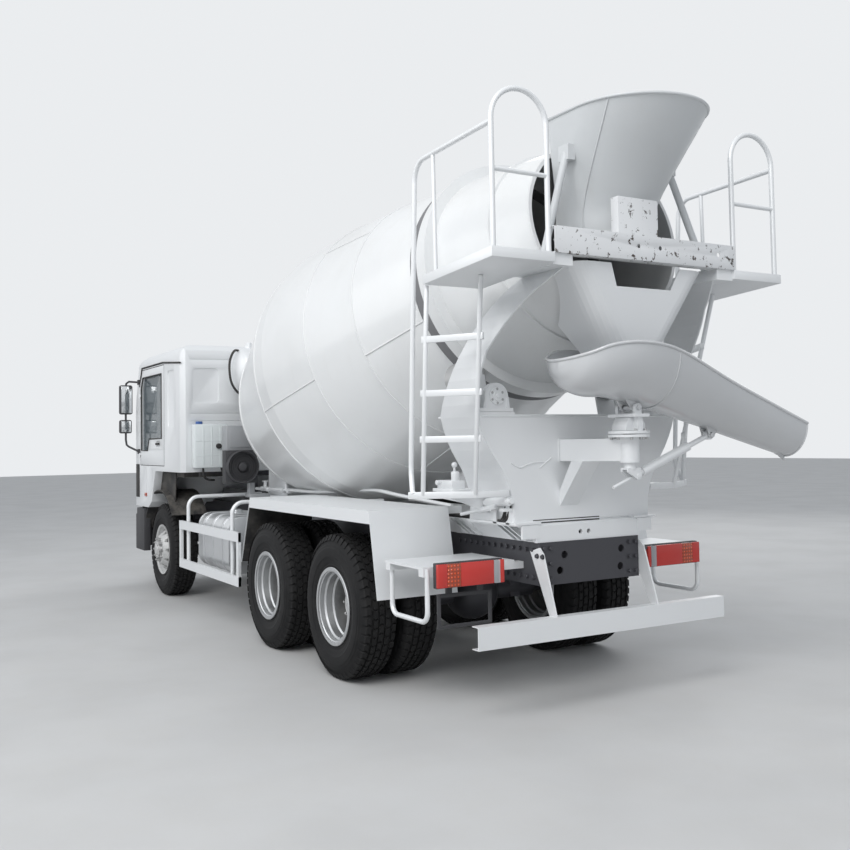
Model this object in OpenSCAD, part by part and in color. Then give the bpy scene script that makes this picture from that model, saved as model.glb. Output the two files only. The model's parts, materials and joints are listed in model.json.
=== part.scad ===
// Concrete mixer truck on a three-axle chassis: tilting cab, inclined drum,
// charge hopper, collecting funnel and a chute that swings, with its screw jack.
// X points forward, Y to the truck's left and Z up, with the ground at Z 0.

/* [Chassis] */
// X of the rearmost axle
rear_axle_x = -1900; // [-2200:10:-1700]
// Distance between the two driven axles
bogie_spacing = 1350; // [1300:10:1450]
// Distance from the front axle to the first driven axle
wheelbase = 3600; // [3500:10:3700]
// Height of the top of the frame rails
rail_top = 1070; // [1050:5:1090]
// Height of the frame rails
rail_h = 280; // [240:5:300]
// Flange width of the frame rails
rail_w = 80; // [70:1:90]
// Wall of the frame rails
rail_t = 10; // [8:1:12]
// Width over both rails
frame_w = 850; // [840:5:870]
// Frame overhang behind the rearmost axle
rear_overhang = 1500; // [1450:10:1550]
// Height of the mixer's own frame on the rails
sub_h = 110; // [90:5:120]

/* [Wheels] */
// Outer radius of a tyre
tyre_r = 535; // [520:1:545]
// Width of a tyre
tyre_w = 300; // [280:1:310]
// Radius of a rim's lip
rim_r = 290; // [270:1:300]
// Track of the front wheels
front_track = 2020; // [2000:5:2060]
// Distance between the middles of the left and right twin wheels
rear_track = 1830; // [1820:5:1860]
// Distance between the middles of two twin tyres
twin_gap = 340; // [325:1:350]
// Radius of the wheel spindles
spindle_r = 45; // [40:1:50]
// Radius of the kingpins
kingpin_r = 24; // [20:1:28]
// Distance from the middle of the truck to a kingpin
kingpin_y = 850; // [840:1:860]

/* [Drum] */
// Tilt of the drum's axis
drum_tilt = 12.46; // [11:0.01:13]
// X of the rolling ring's middle at its front edge
ring_x = -2676; // [-2700:1:-2650]
// Z of the rolling ring's middle at its front edge
ring_z = 2926; // [2910:1:2950]
// Radius of the rolling ring
ring_r = 894; // [885:1:900]
// Width of the rolling ring
ring_w = 120; // [100:1:140]
// Wall of the drum
drum_wall = 8; // [6:0.5:12]
// Radius of the support rollers
roller_r = 125; // [110:1:130]
// Angle of the rollers from the ring's lowest point
roller_angle = 40; // [36:1:44]
// Gap between the ring and each roller
roll_gap = 0.3; // [0.2:0.1:1]

/* [Cab] */
// X of the cab's rear wall
cab_rear = 2070; // [2040:5:2100]
// X of the cab's front face
cab_front = 4330; // [4300:5:4360]
// Width of the cab
cab_w = 2400; // [2350:10:2440]
// Height of the cab's roof
cab_top = 2870; // [2840:5:2900]
// Thickness of the cab's walls and doors
cab_t = 50; // [40:1:60]
// X of the rear edge of the doors
door_rear = 2760; // [2700:5:2800]
// X of the front edge of the doors
door_front = 3850; // [3800:5:3880]
// Gap round the doors
door_gap = 8; // [6:0.5:12]

/* [Rear frame] */
// X of the rear face of the pedestal
ped_rear = -3350; // [-3380:5:-3320]
// X of the front face of the pedestal
ped_front = -2800; // [-2850:5:-2780]
// Height of the pedestal's top plate
ped_top = 1915; // [1900:5:1930]
// Plate thickness of the pedestal
ped_t = 12; // [8:1:16]
// Radius of the arch that carries the platforms
arch_r = 890; // [880:1:900]
// Height of the arch's middle
arch_z = 2150; // [2140:5:2160]
// Height of the platforms at their rear edge
deck_z = 2790; // [2780:5:2800]
// X of the platforms' rear edge
deck_x = -4060; // [-4080:5:-4040]
// Slope of the platforms, down to the front
deck_slope = 3.5; // [0:0.1:5]
// Radius of the handrail tubes
rail_tube_r = 17; // [14:1:20]

/* [Chute] */
// X of the chute's swivel axis
pivot_x = -3820; // [-3830:1:-3810]
// Radius of the swivel shaft
pivot_r = 40; // [35:1:45]
// Height of the chute's tilt axis
tilt_z = 1940; // [1935:1:1942]
// Wall of the chute
chute_wall = 8; // [6:0.5:10]
// Radius of the tilt and jack pins
pin_r = 14; // [12:0.5:16]

/* [Hidden] */
$fn = 48;
fit = 0.05;
mid_axle_x = rear_axle_x + bogie_spacing;
front_axle_x = mid_axle_x + wheelbase;
axle_z = tyre_r;
rail_bottom = rail_top - rail_h;
frame_rear = rear_axle_x - rear_overhang;
frame_front = front_axle_x + 1080;
sub_top = rail_top + sub_h;
sub_front = 1950;
kingpin_h = 130;
arm_back = 190;

white = [0.86, 0.87, 0.88];
black = [0.1, 0.1, 0.11];
steel = [0.55, 0.56, 0.58];

// Side helper: 1 is the left side, -1 the right side.
module both() {
    children();
    mirror([0, 1, 0]) children();
}
// Points of an arc, from angle a0 to a1 in n steps.
function arc(c, r, a0, a1, n) =
    [for (i = [0:n]) let (a = a0 + (a1 - a0) * i / n) [c[0] + r * cos(a), c[1] + r * sin(a)]];
// Round bar between two points.
module rod(p, q, r) {
    d = q - p;
    translate(p) rotate([0, acos(d[2] / norm(d)), atan2(d[1], d[0])]) cylinder(h = norm(d), r = r);
}
// Elbow of a round bar of radius r at the corner b between a and c, with its middle line at radius bend.
module elbow(a, b, c, r, bend) {
    u = (b - a) / norm(b - a);
    v = (c - b) / norm(c - b);
    turn = acos(u * v);
    w = (v - u * (u * v)) / norm(v - u * (u * v));
    n = cross(u, w);
    o = b - u * bend * tan(turn / 2) + w * bend;
    multmatrix([[-w[0], u[0], n[0], o[0]], [-w[1], u[1], n[1], o[1]], [-w[2], u[2], n[2], o[2]], [0, 0, 0, 1]])
        rotate_extrude(angle = turn) translate([bend, 0]) circle(r = r);
}
// Length that an elbow takes from each straight next to corner i of a path.
function cut_back(points, i, bend) = let (u = points[i] - points[i - 1], v = points[i + 1] - points[i])
    bend * tan(acos(u * v / norm(u) / norm(v)) / 2);
// Round bar along a list of points, with every corner bent to the same radius. The bends are a little
// thicker and the straights run a short way into them.
module pipe(points, r, bend) {
    lap = sqrt(bend / 2);
    last = len(points) - 1;
    for (i = [0:last - 1]) {
        u = (points[i + 1] - points[i]) / norm(points[i + 1] - points[i]);
        a = i == 0 ? 0 : cut_back(points, i, bend) - lap;
        b = i == last - 1 ? 0 : cut_back(points, i + 1, bend) - lap;
        rod(points[i] + u * a, points[i + 1] - u * b, r);
    }
    for (i = [1:1:last - 1]) elbow(points[i - 1], points[i], points[i + 1], r + 0.5, bend);
}
// Box between two corners.
module block(p, q) {
    translate(p) cube(q - p);
}
// Plate with an outline in X and Z, centred on y.
module plate_xz(points, y, t) {
    translate([0, y + t / 2, 0]) rotate([90, 0, 0]) linear_extrude(t) polygon(points);
}
// Plate with an outline in Y and Z, from x to x + t.
module plate_yz(points, x, t) {
    translate([x, 0, 0]) rotate([90, 0, 90]) linear_extrude(t) polygon(points);
}
// Cylinder along Y, centred on p.
module across(p, r, w) {
    translate(p) rotate([90, 0, 0]) cylinder(h = w, r = r, center = true);
}
// Cylinder along X, starting at p.
module along(p, r, w) {
    translate(p) rotate([0, 90, 0]) cylinder(h = w, r = r);
}
// Puts children in the drum's frame: Z is its axis, X points away from the ground.
module on_drum() {
    translate([ring_x, 0, ring_z]) rotate([0, drum_tilt - 90, 0]) children();
}
// Closed solid through rings of points, each list with the same count.
module loft(rings) {
    n = len(rings[0]);
    m = len(rings);
    polyhedron(
        points = [for (r = rings) for (p = r) p],
        faces = concat(
            [[for (i = [0:n - 1]) i]],
            [for (j = [0:m - 2]) for (i = [0:n - 1]) each [
                [j * n + i, (j + 1) * n + i, j * n + (i + 1) % n],
                [j * n + (i + 1) % n, (j + 1) * n + i, (j + 1) * n + (i + 1) % n]]],
            [[for (i = [n - 1:-1:0]) (m - 1) * n + i]]));
}

// Frame and running gear

module frame_rail() {
    y0 = frame_w / 2 - rail_w;
    difference() {
        block([frame_rear, y0, rail_bottom], [frame_front, frame_w / 2, rail_top]);
        block([frame_rear - 1, y0 - 1, rail_bottom + rail_t],
            [frame_front + 1, frame_w / 2 - rail_t, rail_top - rail_t]);
    }
}
module frame() {
    color(black) {
        both() frame_rail();
        // X of each cross member
        for (x = [-2700, -1225, 100, 1400, 2250])
            translate([x, 0, rail_bottom + rail_h / 2]) difference() {
                cube([120, frame_w - 2 * rail_t, 160], center = true);
                cube([100, frame_w, 140], center = true);
            }
        // closing member at the rear with its round holes
        difference() {
            block([frame_rear - 8, -frame_w / 2, rail_bottom], [frame_rear + 60, frame_w / 2, rail_top]);
            block([frame_rear + 4, -frame_w / 2 + 12, rail_bottom - 1],
                [frame_rear + 61, frame_w / 2 - 12, rail_top + 1]);
            for (p = [[-260, 80], [-270, 200], [260, 90], [220, 190]])
                along([frame_rear - 10, p[0], rail_bottom + p[1]], 26, 20);
        }
        // front member that carries the bumper and the cab's pivots
        block([frame_front - 60, -frame_w / 2, rail_bottom + 20], [frame_front, frame_w / 2, rail_top - 20]);
        both() difference() {
            union() {
                plate_xz([[frame_front - 150, rail_bottom + 60], [frame_front + 20, rail_bottom + 60],
                    [cab_hinge_x + 26, cab_hinge_z - 20], [cab_hinge_x - 10, cab_hinge_z + 35],
                    [frame_front - 150, rail_top - rail_t]], frame_w / 2 - 45, 20);
                across([cab_hinge_x, frame_w / 2 - 45, cab_hinge_z], 36, 20);
            }
            across([cab_hinge_x, frame_w / 2 - 45, cab_hinge_z], hinge_pin_r + fit, 60);
        }
        // rear cab support over the frame
        both() block([cab_rear + 60, 300, rail_top], [cab_rear + 130, 380, cab_sill_rear - 60]);
        block([cab_rear + 60, -560, cab_sill_rear - 60], [cab_rear + 130, 560, cab_sill_rear - 5]);
    }
}
module subframe() {
    color(white) {
        both() block([frame_rear + 20, frame_w / 2 - rail_w, rail_top], [sub_front, frame_w / 2, sub_top]);
        difference() {
            block([frame_rear, -frame_w / 2 - 20, rail_top], [frame_rear + 20, frame_w / 2 + 20, sub_top]);
            for (y = [-35, 35]) along([frame_rear - 1, y + 40, rail_top + sub_h / 2], 16, 30);
        }
        for (x = [-2600, -1225, 200, 1500])
            block([x, -frame_w / 2 + rail_w, rail_top + 10], [x + 100, frame_w / 2 - rail_w, sub_top - 10]);
    }
}
module engine() {
    color(steel) block([2500, -330, 700], [3560, 330, 1215]);
}
module front_axle() {
    color(black) difference() {
        union() {
            plate_yz([[-kingpin_y, axle_z - 60], [-700, axle_z - 60], [-560, axle_z - 130], [560, axle_z - 130],
                [700, axle_z - 60], [kingpin_y, axle_z - 60], [kingpin_y, axle_z + 30], [680, axle_z + 30],
                [520, axle_z - 40], [-520, axle_z - 40], [-680, axle_z + 30], [-kingpin_y, axle_z + 30]],
                front_axle_x - 45, 90);
            both() {
                translate([front_axle_x, kingpin_y, axle_z - kingpin_h / 2]) cylinder(h = kingpin_h, r = 52);
                // leaf spring, its pads and hangers
                plate_xz([[front_axle_x - 800, 775], [front_axle_x - 400, 710], [front_axle_x, 680],
                    [front_axle_x + 400, 710], [front_axle_x + 800, 775], [front_axle_x + 800, 735],
                    [front_axle_x + 300, 640], [front_axle_x + 90, axle_z + 60], [front_axle_x + 90, axle_z - 40],
                    [front_axle_x - 90, axle_z - 40], [front_axle_x - 90, axle_z + 60],
                    [front_axle_x - 300, 640], [front_axle_x - 800, 735]], frame_w / 2 - 45, 80);
                for (x = [-800, 740])
                    block([front_axle_x + x, frame_w / 2 - 85, 740],
                        [front_axle_x + x + 60, frame_w / 2 - 5, rail_bottom]);
            }
        }
        both() translate([front_axle_x, kingpin_y, axle_z - kingpin_h])
            cylinder(h = 2 * kingpin_h, r = kingpin_r + fit);
    }
}
// Outer end of a rear spindle
spindle_end = rear_track / 2 + twin_gap / 2 - 40;
module drive_axles() {
    color(black) {
        for (x = [rear_axle_x, mid_axle_x]) {
            across([x, 0, axle_z], 75, 2 * (rear_track / 2 - 345));
            across([x, 0, axle_z], spindle_r, 2 * spindle_end);
            translate([x, 0, axle_z]) sphere(r = 215);
            both() block([x - 70, frame_w / 2 - 90, axle_z - 60], [x + 70, frame_w / 2, axle_z + 110]);
        }
        both() {
            // bogie spring over the middle pivot
            plate_xz([[rear_axle_x - 90, axle_z + 105], [rear_axle_x + 90, axle_z + 105],
                [rear_axle_x + bogie_spacing / 2 - 120, 740], [rear_axle_x + bogie_spacing / 2 + 120, 740],
                [mid_axle_x - 90, axle_z + 105], [mid_axle_x + 90, axle_z + 105], [mid_axle_x + 90, axle_z + 150],
                [rear_axle_x + bogie_spacing / 2 + 140, rail_bottom],
                [rear_axle_x + bogie_spacing / 2 - 140, rail_bottom], [rear_axle_x - 90, axle_z + 150]],
                frame_w / 2 - 45, 90);
        }
        rod([rear_axle_x, 0, axle_z + 60], [mid_axle_x, 0, axle_z + 60], 45);
        rod([mid_axle_x, 0, axle_z + 60], [2496, 0, 770], 50);
    }
}

// Wheels, with the axis along Y and the middle at the origin

module tyre() {
    w = tyre_w / 2;
    rotate([90, 0, 0]) rotate_extrude($fn = 48)
        polygon([[rim_r - 18, -w + 40], [rim_r + 8, -w + 22], [rim_r + 110, -w], [tyre_r - 65, -w + 12],
            [tyre_r - 12, -w + 34], [tyre_r, -w + 62], [tyre_r, w - 62], [tyre_r - 12, w - 34],
            [tyre_r - 65, w - 12], [rim_r + 110, w], [rim_r + 8, w - 22], [rim_r - 18, w - 40]]);
}
// Rim whose disc stands at distance d outward from the rim's middle.
module rim(d) {
    w = tyre_w / 2;
    difference() {
        rotate([-90, 0, 0]) rotate_extrude()
            polygon([[spindle_r + fit, d - 12], [rim_r - 130, d - 12], [rim_r - 50, d - 40], [rim_r - 50, -w + 45],
                [rim_r - 30, -w + 8], [rim_r, -w + 8], [rim_r, -w + 20], [rim_r - 18.3, -w + 32], [rim_r - 18.3, -w + 60],
                [rim_r - 35, -w + 75], [rim_r - 35, w - 75], [rim_r - 18.3, w - 60], [rim_r - 18.3, w - 32],
                [rim_r, w - 20], [rim_r, w - 8], [rim_r - 30, w - 8], [rim_r - 50, w - 45], [rim_r - 50, d - 20],
                [rim_r - 130, d + 12], [spindle_r + fit, d + 12]]);
        for (i = [0:9]) rotate([0, 36 * i, 0]) translate([0, d, rim_r - 95]) rotate([90, 0, 0])
            cylinder(h = 120, r = 27, center = true);
    }
}
module hub(y0, y1, r) {
    rotate([-90, 0, 0]) translate([0, 0, y0]) difference() {
        cylinder(h = y1 - y0, r = r);
        translate([0, 0, -1]) cylinder(h = y1 - y0 - 18, r = spindle_r + fit);
    }
}
module front_rim() {
    rim(60);
    hub(-70, 118, 95);
}
module twin_rims() {
    translate([0, twin_gap / 2, 0]) rim(-70);
    translate([0, -twin_gap / 2, 0]) mirror([0, 1, 0]) rim(-70);
    hub(-150, spindle_end - rear_track / 2 + 22, 110);
}
module at_front(s) {
    translate([front_axle_x, s * front_track / 2, axle_z]) mirror([0, s < 0 ? 1 : 0, 0]) children();
}
module at_twin(x, s) {
    translate([x, s * rear_track / 2, axle_z]) mirror([0, s < 0 ? 1 : 0, 0]) children();
}
module twin_tyres() {
    for (y = [-twin_gap / 2, twin_gap / 2]) translate([0, y, 0]) tyre();
}
module tyre_front_left() { color(black) at_front(1) tyre(); }
module rim_front_left() { color(steel) at_front(1) front_rim(); }
module tyre_front_right() { color(black) at_front(-1) tyre(); }
module rim_front_right() { color(steel) at_front(-1) front_rim(); }
module tyres_mid_left() { color(black) at_twin(mid_axle_x, 1) twin_tyres(); }
module rims_mid_left() { color(steel) at_twin(mid_axle_x, 1) twin_rims(); }
module tyres_mid_right() { color(black) at_twin(mid_axle_x, -1) twin_tyres(); }
module rims_mid_right() { color(steel) at_twin(mid_axle_x, -1) twin_rims(); }
module tyres_rear_left() { color(black) at_twin(rear_axle_x, 1) twin_tyres(); }
module rims_rear_left() { color(steel) at_twin(rear_axle_x, 1) twin_rims(); }
module tyres_rear_right() { color(black) at_twin(rear_axle_x, -1) twin_tyres(); }
module rims_rear_right() { color(steel) at_twin(rear_axle_x, -1) twin_rims(); }

// Steering knuckle of the left side: yoke round the axle's eye, pin, spindle and arm.
module knuckle() {
    translate([front_axle_x, kingpin_y, axle_z]) {
        for (z = [-1, 1]) translate([0, 0, z * (kingpin_h / 2 + 22)]) cylinder(h = 40, r = 50, center = true);
        cylinder(h = kingpin_h + 84, r = kingpin_r, center = true);
        block([-50, 58, -kingpin_h / 2 - 42], [50, 80, kingpin_h / 2 + 42]);
        for (z = [-1, 1]) block([-45, 0, z * (kingpin_h / 2 + 22) - 20], [45, 60, z * (kingpin_h / 2 + 22) + 20]);
        translate([0, 78, 0]) rotate([-90, 0, 0]) cylinder(h = front_track / 2 - kingpin_y - 78 + 90, r = spindle_r);
        // steering arm to the tie rod, below the axle
        block([-arm_back, -25, -kingpin_h / 2 - 42], [0, 25, -kingpin_h / 2 - 17]);
        translate([-arm_back, 0, -kingpin_h / 2 - 42]) cylinder(h = 25, r = 32);
        translate([-arm_back, 0, -kingpin_h / 2 - 30]) cylinder(h = 70, r = 12);
    }
}
module knuckle_left() { color(black) knuckle(); }
module knuckle_right() { color(black) mirror([0, 1, 0]) knuckle(); }
module tie_rod() {
    x = front_axle_x - arm_back;
    z = axle_z - kingpin_h / 2 + 10;
    color(black) difference() {
        union() {
            rod([x, -kingpin_y, z], [x, kingpin_y, z], 18);
            both() translate([x, kingpin_y, z - 20]) cylinder(h = 40, r = 28);
        }
        both() translate([x, kingpin_y, z - 30]) cylinder(h = 60, r = 12 + fit);
    }
}

// Pieces along the frame

module fuel_tank() {
    color(steel) {
        block([900, 480, 500], [1800, 1060, 1010]);
        for (x = [1080, 1560]) block([x, 470, 490], [x + 70, 1070, 1020]);
        for (x = [1080, 1560]) block([x, frame_w / 2, 820], [x + 70, 480, 1000]);
        translate([1350, 760, 1010]) cylinder(h = 50, r = 60);
    }
}
module battery_box() {
    color(black) {
        block([1250, -1060, 560], [1850, -480, 960]);
        for (x = [1300, 1730]) block([x, -480, 800], [x + 70, -frame_w / 2, 960]);
        for (z = [640, 850]) along([450, -800, z], 95, 700);
        for (x = [550, 1000]) block([x, -900, 540], [x + 50, -frame_w / 2, 950]);
    }
}
module exhaust() {
    color(steel) {
        along([2100, -760, 780], 150, 260);
        pipe([[2170, -700, 735], [2170, -200, 735], [2499.7, -200, 735]], 45, 90);
        block([2160, -620, 760], [2220, -frame_w / 2, 900]);
    }
}
// Side guard of the left side: outer frame with two bars and two bent tubes.
module side_guard() {
    y = 1240;
    x0 = 130;
    x1 = 2030;
    for (z = [440, 850]) block([x0, y - 30, z], [x1, y, z + 90]);
    for (x = [x0, x1 - 60]) block([x, y - 30, 440], [x + 60, y, 940]);
    pipe([[x1 - 180, y - 50, 460], [x1 - 180, y - 50, 1200], [x0 + 300, y - 50, 1200], [x0 + 300, y - 50, 460]],
        20, 110);
    for (x = [x0 + 350, x1 - 230]) block([x, frame_w / 2, 1030], [x + 50, y - 40, 1070]);
    for (x = [x0 + 350, x1 - 230]) block([x, y - 75, 860], [x + 50, y - 25, 1070]);
}
module side_guards() {
    color(white) both() side_guard();
}
// Fender over the two driven axles.
module fender() {
    y1 = 1240;
    y0 = 600;
    top = 1275;
    xr = rear_axle_x - 651;
    xf = mid_axle_x + 356;
    plate_xz([[xr - 114, 676], [xr, top], [xf, top], [xf + 244, 678], [xf + 238, 678], [xf - 4, top - 6],
        [xr + 4, top - 6], [xr - 108, 676]], (y0 + y1) / 2, y1 - y0);
    // outer lip
    plate_xz([[xr, top], [xf, top], [xf + 20, top - 90], [xr - 17, top - 90]], y1 - 4, 8);
    for (x = [rear_axle_x - 560, rear_axle_x + bogie_spacing / 2, mid_axle_x + 250])
        block([x, frame_w / 2, top - 60], [x + 60, y1 - 8, top - 6]);
    for (x = [rear_axle_x - 560, rear_axle_x + bogie_spacing / 2, mid_axle_x + 250])
        block([x, frame_w / 2, rail_top], [x + 60, frame_w / 2 + 12, top - 6]);
}
module fenders() {
    color(white) both() fender();
}
// Face that the tail lamps are bolted to
lamp_x = -3225;
module rear_steps() {
    color(white) both() {
        block([lamp_x, 500, 935], [-2700, 1200, 950]);
        block([lamp_x, frame_w / 2, 890], [lamp_x + 60, 1200, 935]);
        block([-2780, frame_w / 2, 890], [-2720, 1200, 935]);
        pipe([[-3220, 1170, 940], [-3220, 1170, 600], [-2750, 1170, 600], [-2750, 1170, 940]], 16, 70);
    }
}
module tail_lamps() {
    color("firebrick") both() block([lamp_x - 65, 625, 815], [lamp_x - 0.3, 1130, 975]);
}
module underrun_guard() {
    x = frame_rear - 200;
    color(white) {
        difference() {
            block([x, -1038, 473], [x + 70, 1038, 616]);
            block([x + 6, -1040, 479], [x + 71, 1040, 610]);
        }
        both() plate_xz([[x + 10, 600], [x + 80, 600], [frame_rear + 80, 1010], [frame_rear - 20, 1040],
            [frame_rear - 60, 1000]], frame_w / 2 + 6, 12);
    }
}
module bumper() {
    color(black) difference() {
        block([front_axle_x + 900, -1210, 470], [cab_front + 90, 1210, 900]);
        block([front_axle_x + 899, -1130, 400], [cab_front + 10, 1130, 950]);
        // lamp pockets and the lower grille
        both() block([cab_front + 50, 800, 560], [cab_front + 91, 1100, 760]);
        block([cab_front + 50, -500, 540], [cab_front + 91, 500, 640]);
    }
    color(black) {
        both() block([frame_front, 290, rail_bottom + 20], [cab_front + 20, 368, rail_bottom + 90]);
        for (y = [[-1131, -440], [-340, 340], [440, 1131]])
            block([frame_front + 20, y[0], rail_bottom + 89], [frame_front + 35, y[1], 990]);
        for (y = [-1131, -340, 300, 1101])
            block([frame_front + 20, y, rail_bottom + 60], [cab_front + 11, y + 30, rail_bottom + 90]);
    }
}
module headlamps() {
    color("whitesmoke") both() block([cab_front + 50.3, 802, 562], [cab_front + 85, 1098, 758]);
}

// Front pedestal, drive and tanks

reducer_front = -4050;
reducer_r = 200;
module front_pedestal() {
    x0 = 1150;
    x1 = 1700;
    color(white) difference() {
        union() {
            both() plate_xz([[x0, sub_top], [x1, sub_top], [x1 - 60, 1900], [x1 - 330, 1960], [x0 + 160, 1600]],
                330, 14);
            plate_yz([[-330, sub_top], [330, sub_top], [330, 1850], [250, 1960], [-250, 1960], [-330, 1850]],
                x1 - 80, 14);
            block([x0, -400, sub_top], [x1, 400, sub_top + 14]);
            block([x1 - 330, -330, 1640], [x1 - 66, 330, 1654]);
        }
        on_drum() translate([0, 0, reducer_front - 700]) cylinder(h = 700, r = reducer_r + 0.3);
    }
}
module drum_drive() {
    color(steel) {
        on_drum() {
            translate([0, 0, reducer_front - 380]) cylinder(h = 378, r = reducer_r);
            translate([0, 0, reducer_front - 330]) cylinder(h = 60, r = 260);
            translate([0, 0, reducer_front - 620]) cylinder(h = 240, r = 110);
        }
        block([1420, -150, 1654], [1600, 150, 1860]);
    }
}
module water_tank() {
    color(white) {
        across([1690, 0, 2560], 250, 1700);
        both() block([1600, 337.3, 1700], [1660, 380, 2330]);
    }
}
module oil_cooler() {
    color(steel) {
        block([1480, 560, 1320], [1660, 1050, 1960]);
        along([1465, 800, 1560], 190, 20);
        block([1480, 400.3, sub_top], [1660, 620, sub_top + 40]);
        block([1520, 560, sub_top + 30], [1600, 620, 1330]);
    }
}

// Drum: outer outline as [distance along the axis, radius]
drum_front = -3660;
drum_front_r = 945;
cone_s = [652, 990];
cone_r = [690, 600];
cone_slope = (1030 - cone_r[0]) / (cone_s[0] + 784);
function cone_at(s) = cone_r[0] + (cone_s[0] - s) * cone_slope;
function drum_outline(t) = concat(
    [for (a = [15:12.5:90]) [drum_front - (350 - t) * cos(a), (drum_front_r - t) * sin(a)]],
    [[-2400, 1235 - t], [-2186, 1245 - t], [-1448, 1150 - t], [-784, 1030 - t]]);
shell_end = ring_w + 30;
module drum_shell() {
    outer = drum_outline(0);
    inner = drum_outline(drum_wall);
    color(white) on_drum() {
        rotate_extrude($fn = 96) polygon([for (p = concat(
            [[reducer_front, 0], [reducer_front, 240], [reducer_front + 40, 240]], outer,
            [[0, cone_at(0)], [0, ring_r], [ring_w, ring_r], [ring_w, cone_at(ring_w)],
                [shell_end, cone_at(shell_end)], [shell_end, cone_at(shell_end) - drum_wall]],
            [for (i = [len(inner) - 1:-1:0]) inner[i]], [[inner[0][0], 0]])) [p[1], p[0]]]);
    }
}
module drum_neck() {
    color(white) on_drum() rotate_extrude($fn = 96) polygon([for (p = [
        [shell_end, cone_at(shell_end)], [cone_s[0] - 20, cone_at(cone_s[0] - 20)], [cone_s[0] - 20, cone_r[0] + 18],
        [cone_s[0], cone_r[0] + 16], [cone_s[0], cone_r[0]], [cone_s[1] - 20, cone_r[1] + 6],
        [cone_s[1] - 20, cone_r[1] + 16], [cone_s[1], cone_r[1] + 16], [cone_s[1], cone_r[1] - drum_wall],
        [cone_s[0], cone_r[0] - drum_wall], [shell_end, cone_at(shell_end) - drum_wall]]) [p[1], p[0]]]);
}
// Middle of the left roller in the drum's frame
roll_at = (ring_r + roller_r + roll_gap) * [-cos(roller_angle), sin(roller_angle)];
shaft_r = 30;
module roller(s) {
    on_drum() translate([roll_at[0], s * roll_at[1], 0]) {
        translate([0, 0, -10]) cylinder(h = ring_w + 20, r = roller_r);
        translate([0, 0, -55]) cylinder(h = ring_w + 110, r = shaft_r);
    }
}
module roller_left() { color(steel) roller(1); }
module roller_right() { color(steel) roller(-1); }

// Rear pedestal

ped_foot = 576;
waist_r = 587;
waist_c = [ped_foot + waist_r, 1240];
// Outline of the pedestal's left side, from the foot to the platforms
side_line = concat([[ped_foot, sub_top]], arc(waist_c, waist_r, 180, 142, 8),
    arc([0, arch_z], arch_r, -37, 46, 16));
function shifted(line, d) = [for (p = line) [p[0] - d, p[1]]];
function turned(line) = [for (i = [len(line) - 1:-1:0]) line[i]];
module side_band() {
    intersection() {
        plate_yz(concat(side_line, turned(shifted(side_line, ped_t))), deck_x, ped_front - deck_x);
        plate_xz([[ped_front, sub_top], [ped_front - 100, ped_top], [-3440, 2650], [-3560, deck_z],
            [-4000, deck_z], [-3780, 2620], [-3500, 2310], [ped_rear, ped_top], [ped_rear, sub_top]], 0, 2200);
    }
}
module half_wall(x) {
    body = [for (p = shifted(side_line, ped_t / 3)) if (p[1] <= ped_top - ped_t) p];
    plate_yz(concat(body, [[body[len(body) - 1][0], ped_top - ped_t / 2], [0, ped_top - ped_t / 2], [0, sub_top]]),
        x, ped_t);
}
module roller_cheek(s, z) {
    intersection() {
        on_drum() translate([roll_at[0], s * roll_at[1], z]) union() {
            cylinder(h = 20, r = 75);
            translate([-500, -90, 0]) cube([500, 180, 20]);
        }
        block([-3600, -1200, ped_top - ped_t], [-2500, 1200, 2500]);
    }
}
beam_top = 1745;
beam_bottom = 1600;
module chute_bracket() {
    translate([0, 0, beam_bottom]) linear_extrude(beam_top - beam_bottom)
        polygon([[ped_rear, 200], [ped_rear, -200], [pivot_x, -60], [pivot_x, 60]]);
    translate([pivot_x, 0, beam_bottom - 10]) cylinder(h = 1774 - beam_bottom, r = 64);
    translate([pivot_x, 0, 1752]) cylinder(h = 16, r = 132);
    plate_xz([[ped_rear, 1300], [ped_rear, 1400], [-3480, beam_bottom], [-3600, beam_bottom]], 130, 150);
}
module rear_pedestal() {
    color(white) difference() {
        union() {
            both() {
                side_band();
                half_wall(ped_rear);
                half_wall(ped_front - 100);
                for (z = [-50, ring_w + 30]) roller_cheek(1, z);
                block([deck_x + 20, 600, deck_z - 10], [-3560, deck_in, deck_z + 60]);
                block([-3080, 540, 1370], [-3020, ladder_y - 25.3, 1410]);
                plate_yz([[560, 1250], [560, 1372], [900, 1372]], -3056, 12);
            }
            block([ped_rear, -835, ped_top - ped_t], [ped_front - 30, 835, ped_top]);
            block([ped_rear - 40, -ped_foot, sub_top], [ped_front, ped_foot, sub_top + ped_t]);
            chute_bracket();
        }
        for (s = [1, -1]) on_drum() translate([roll_at[0], s * roll_at[1], -80])
            cylinder(h = ring_w + 200, r = shaft_r + fit);
        translate([pivot_x, 0, 1500]) cylinder(h = 400, r = pivot_r + fit);
    }
}

// Platforms, handrails and ladders

deck_in = 745;
deck_out = 1195;
deck_len = 1020;
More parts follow.
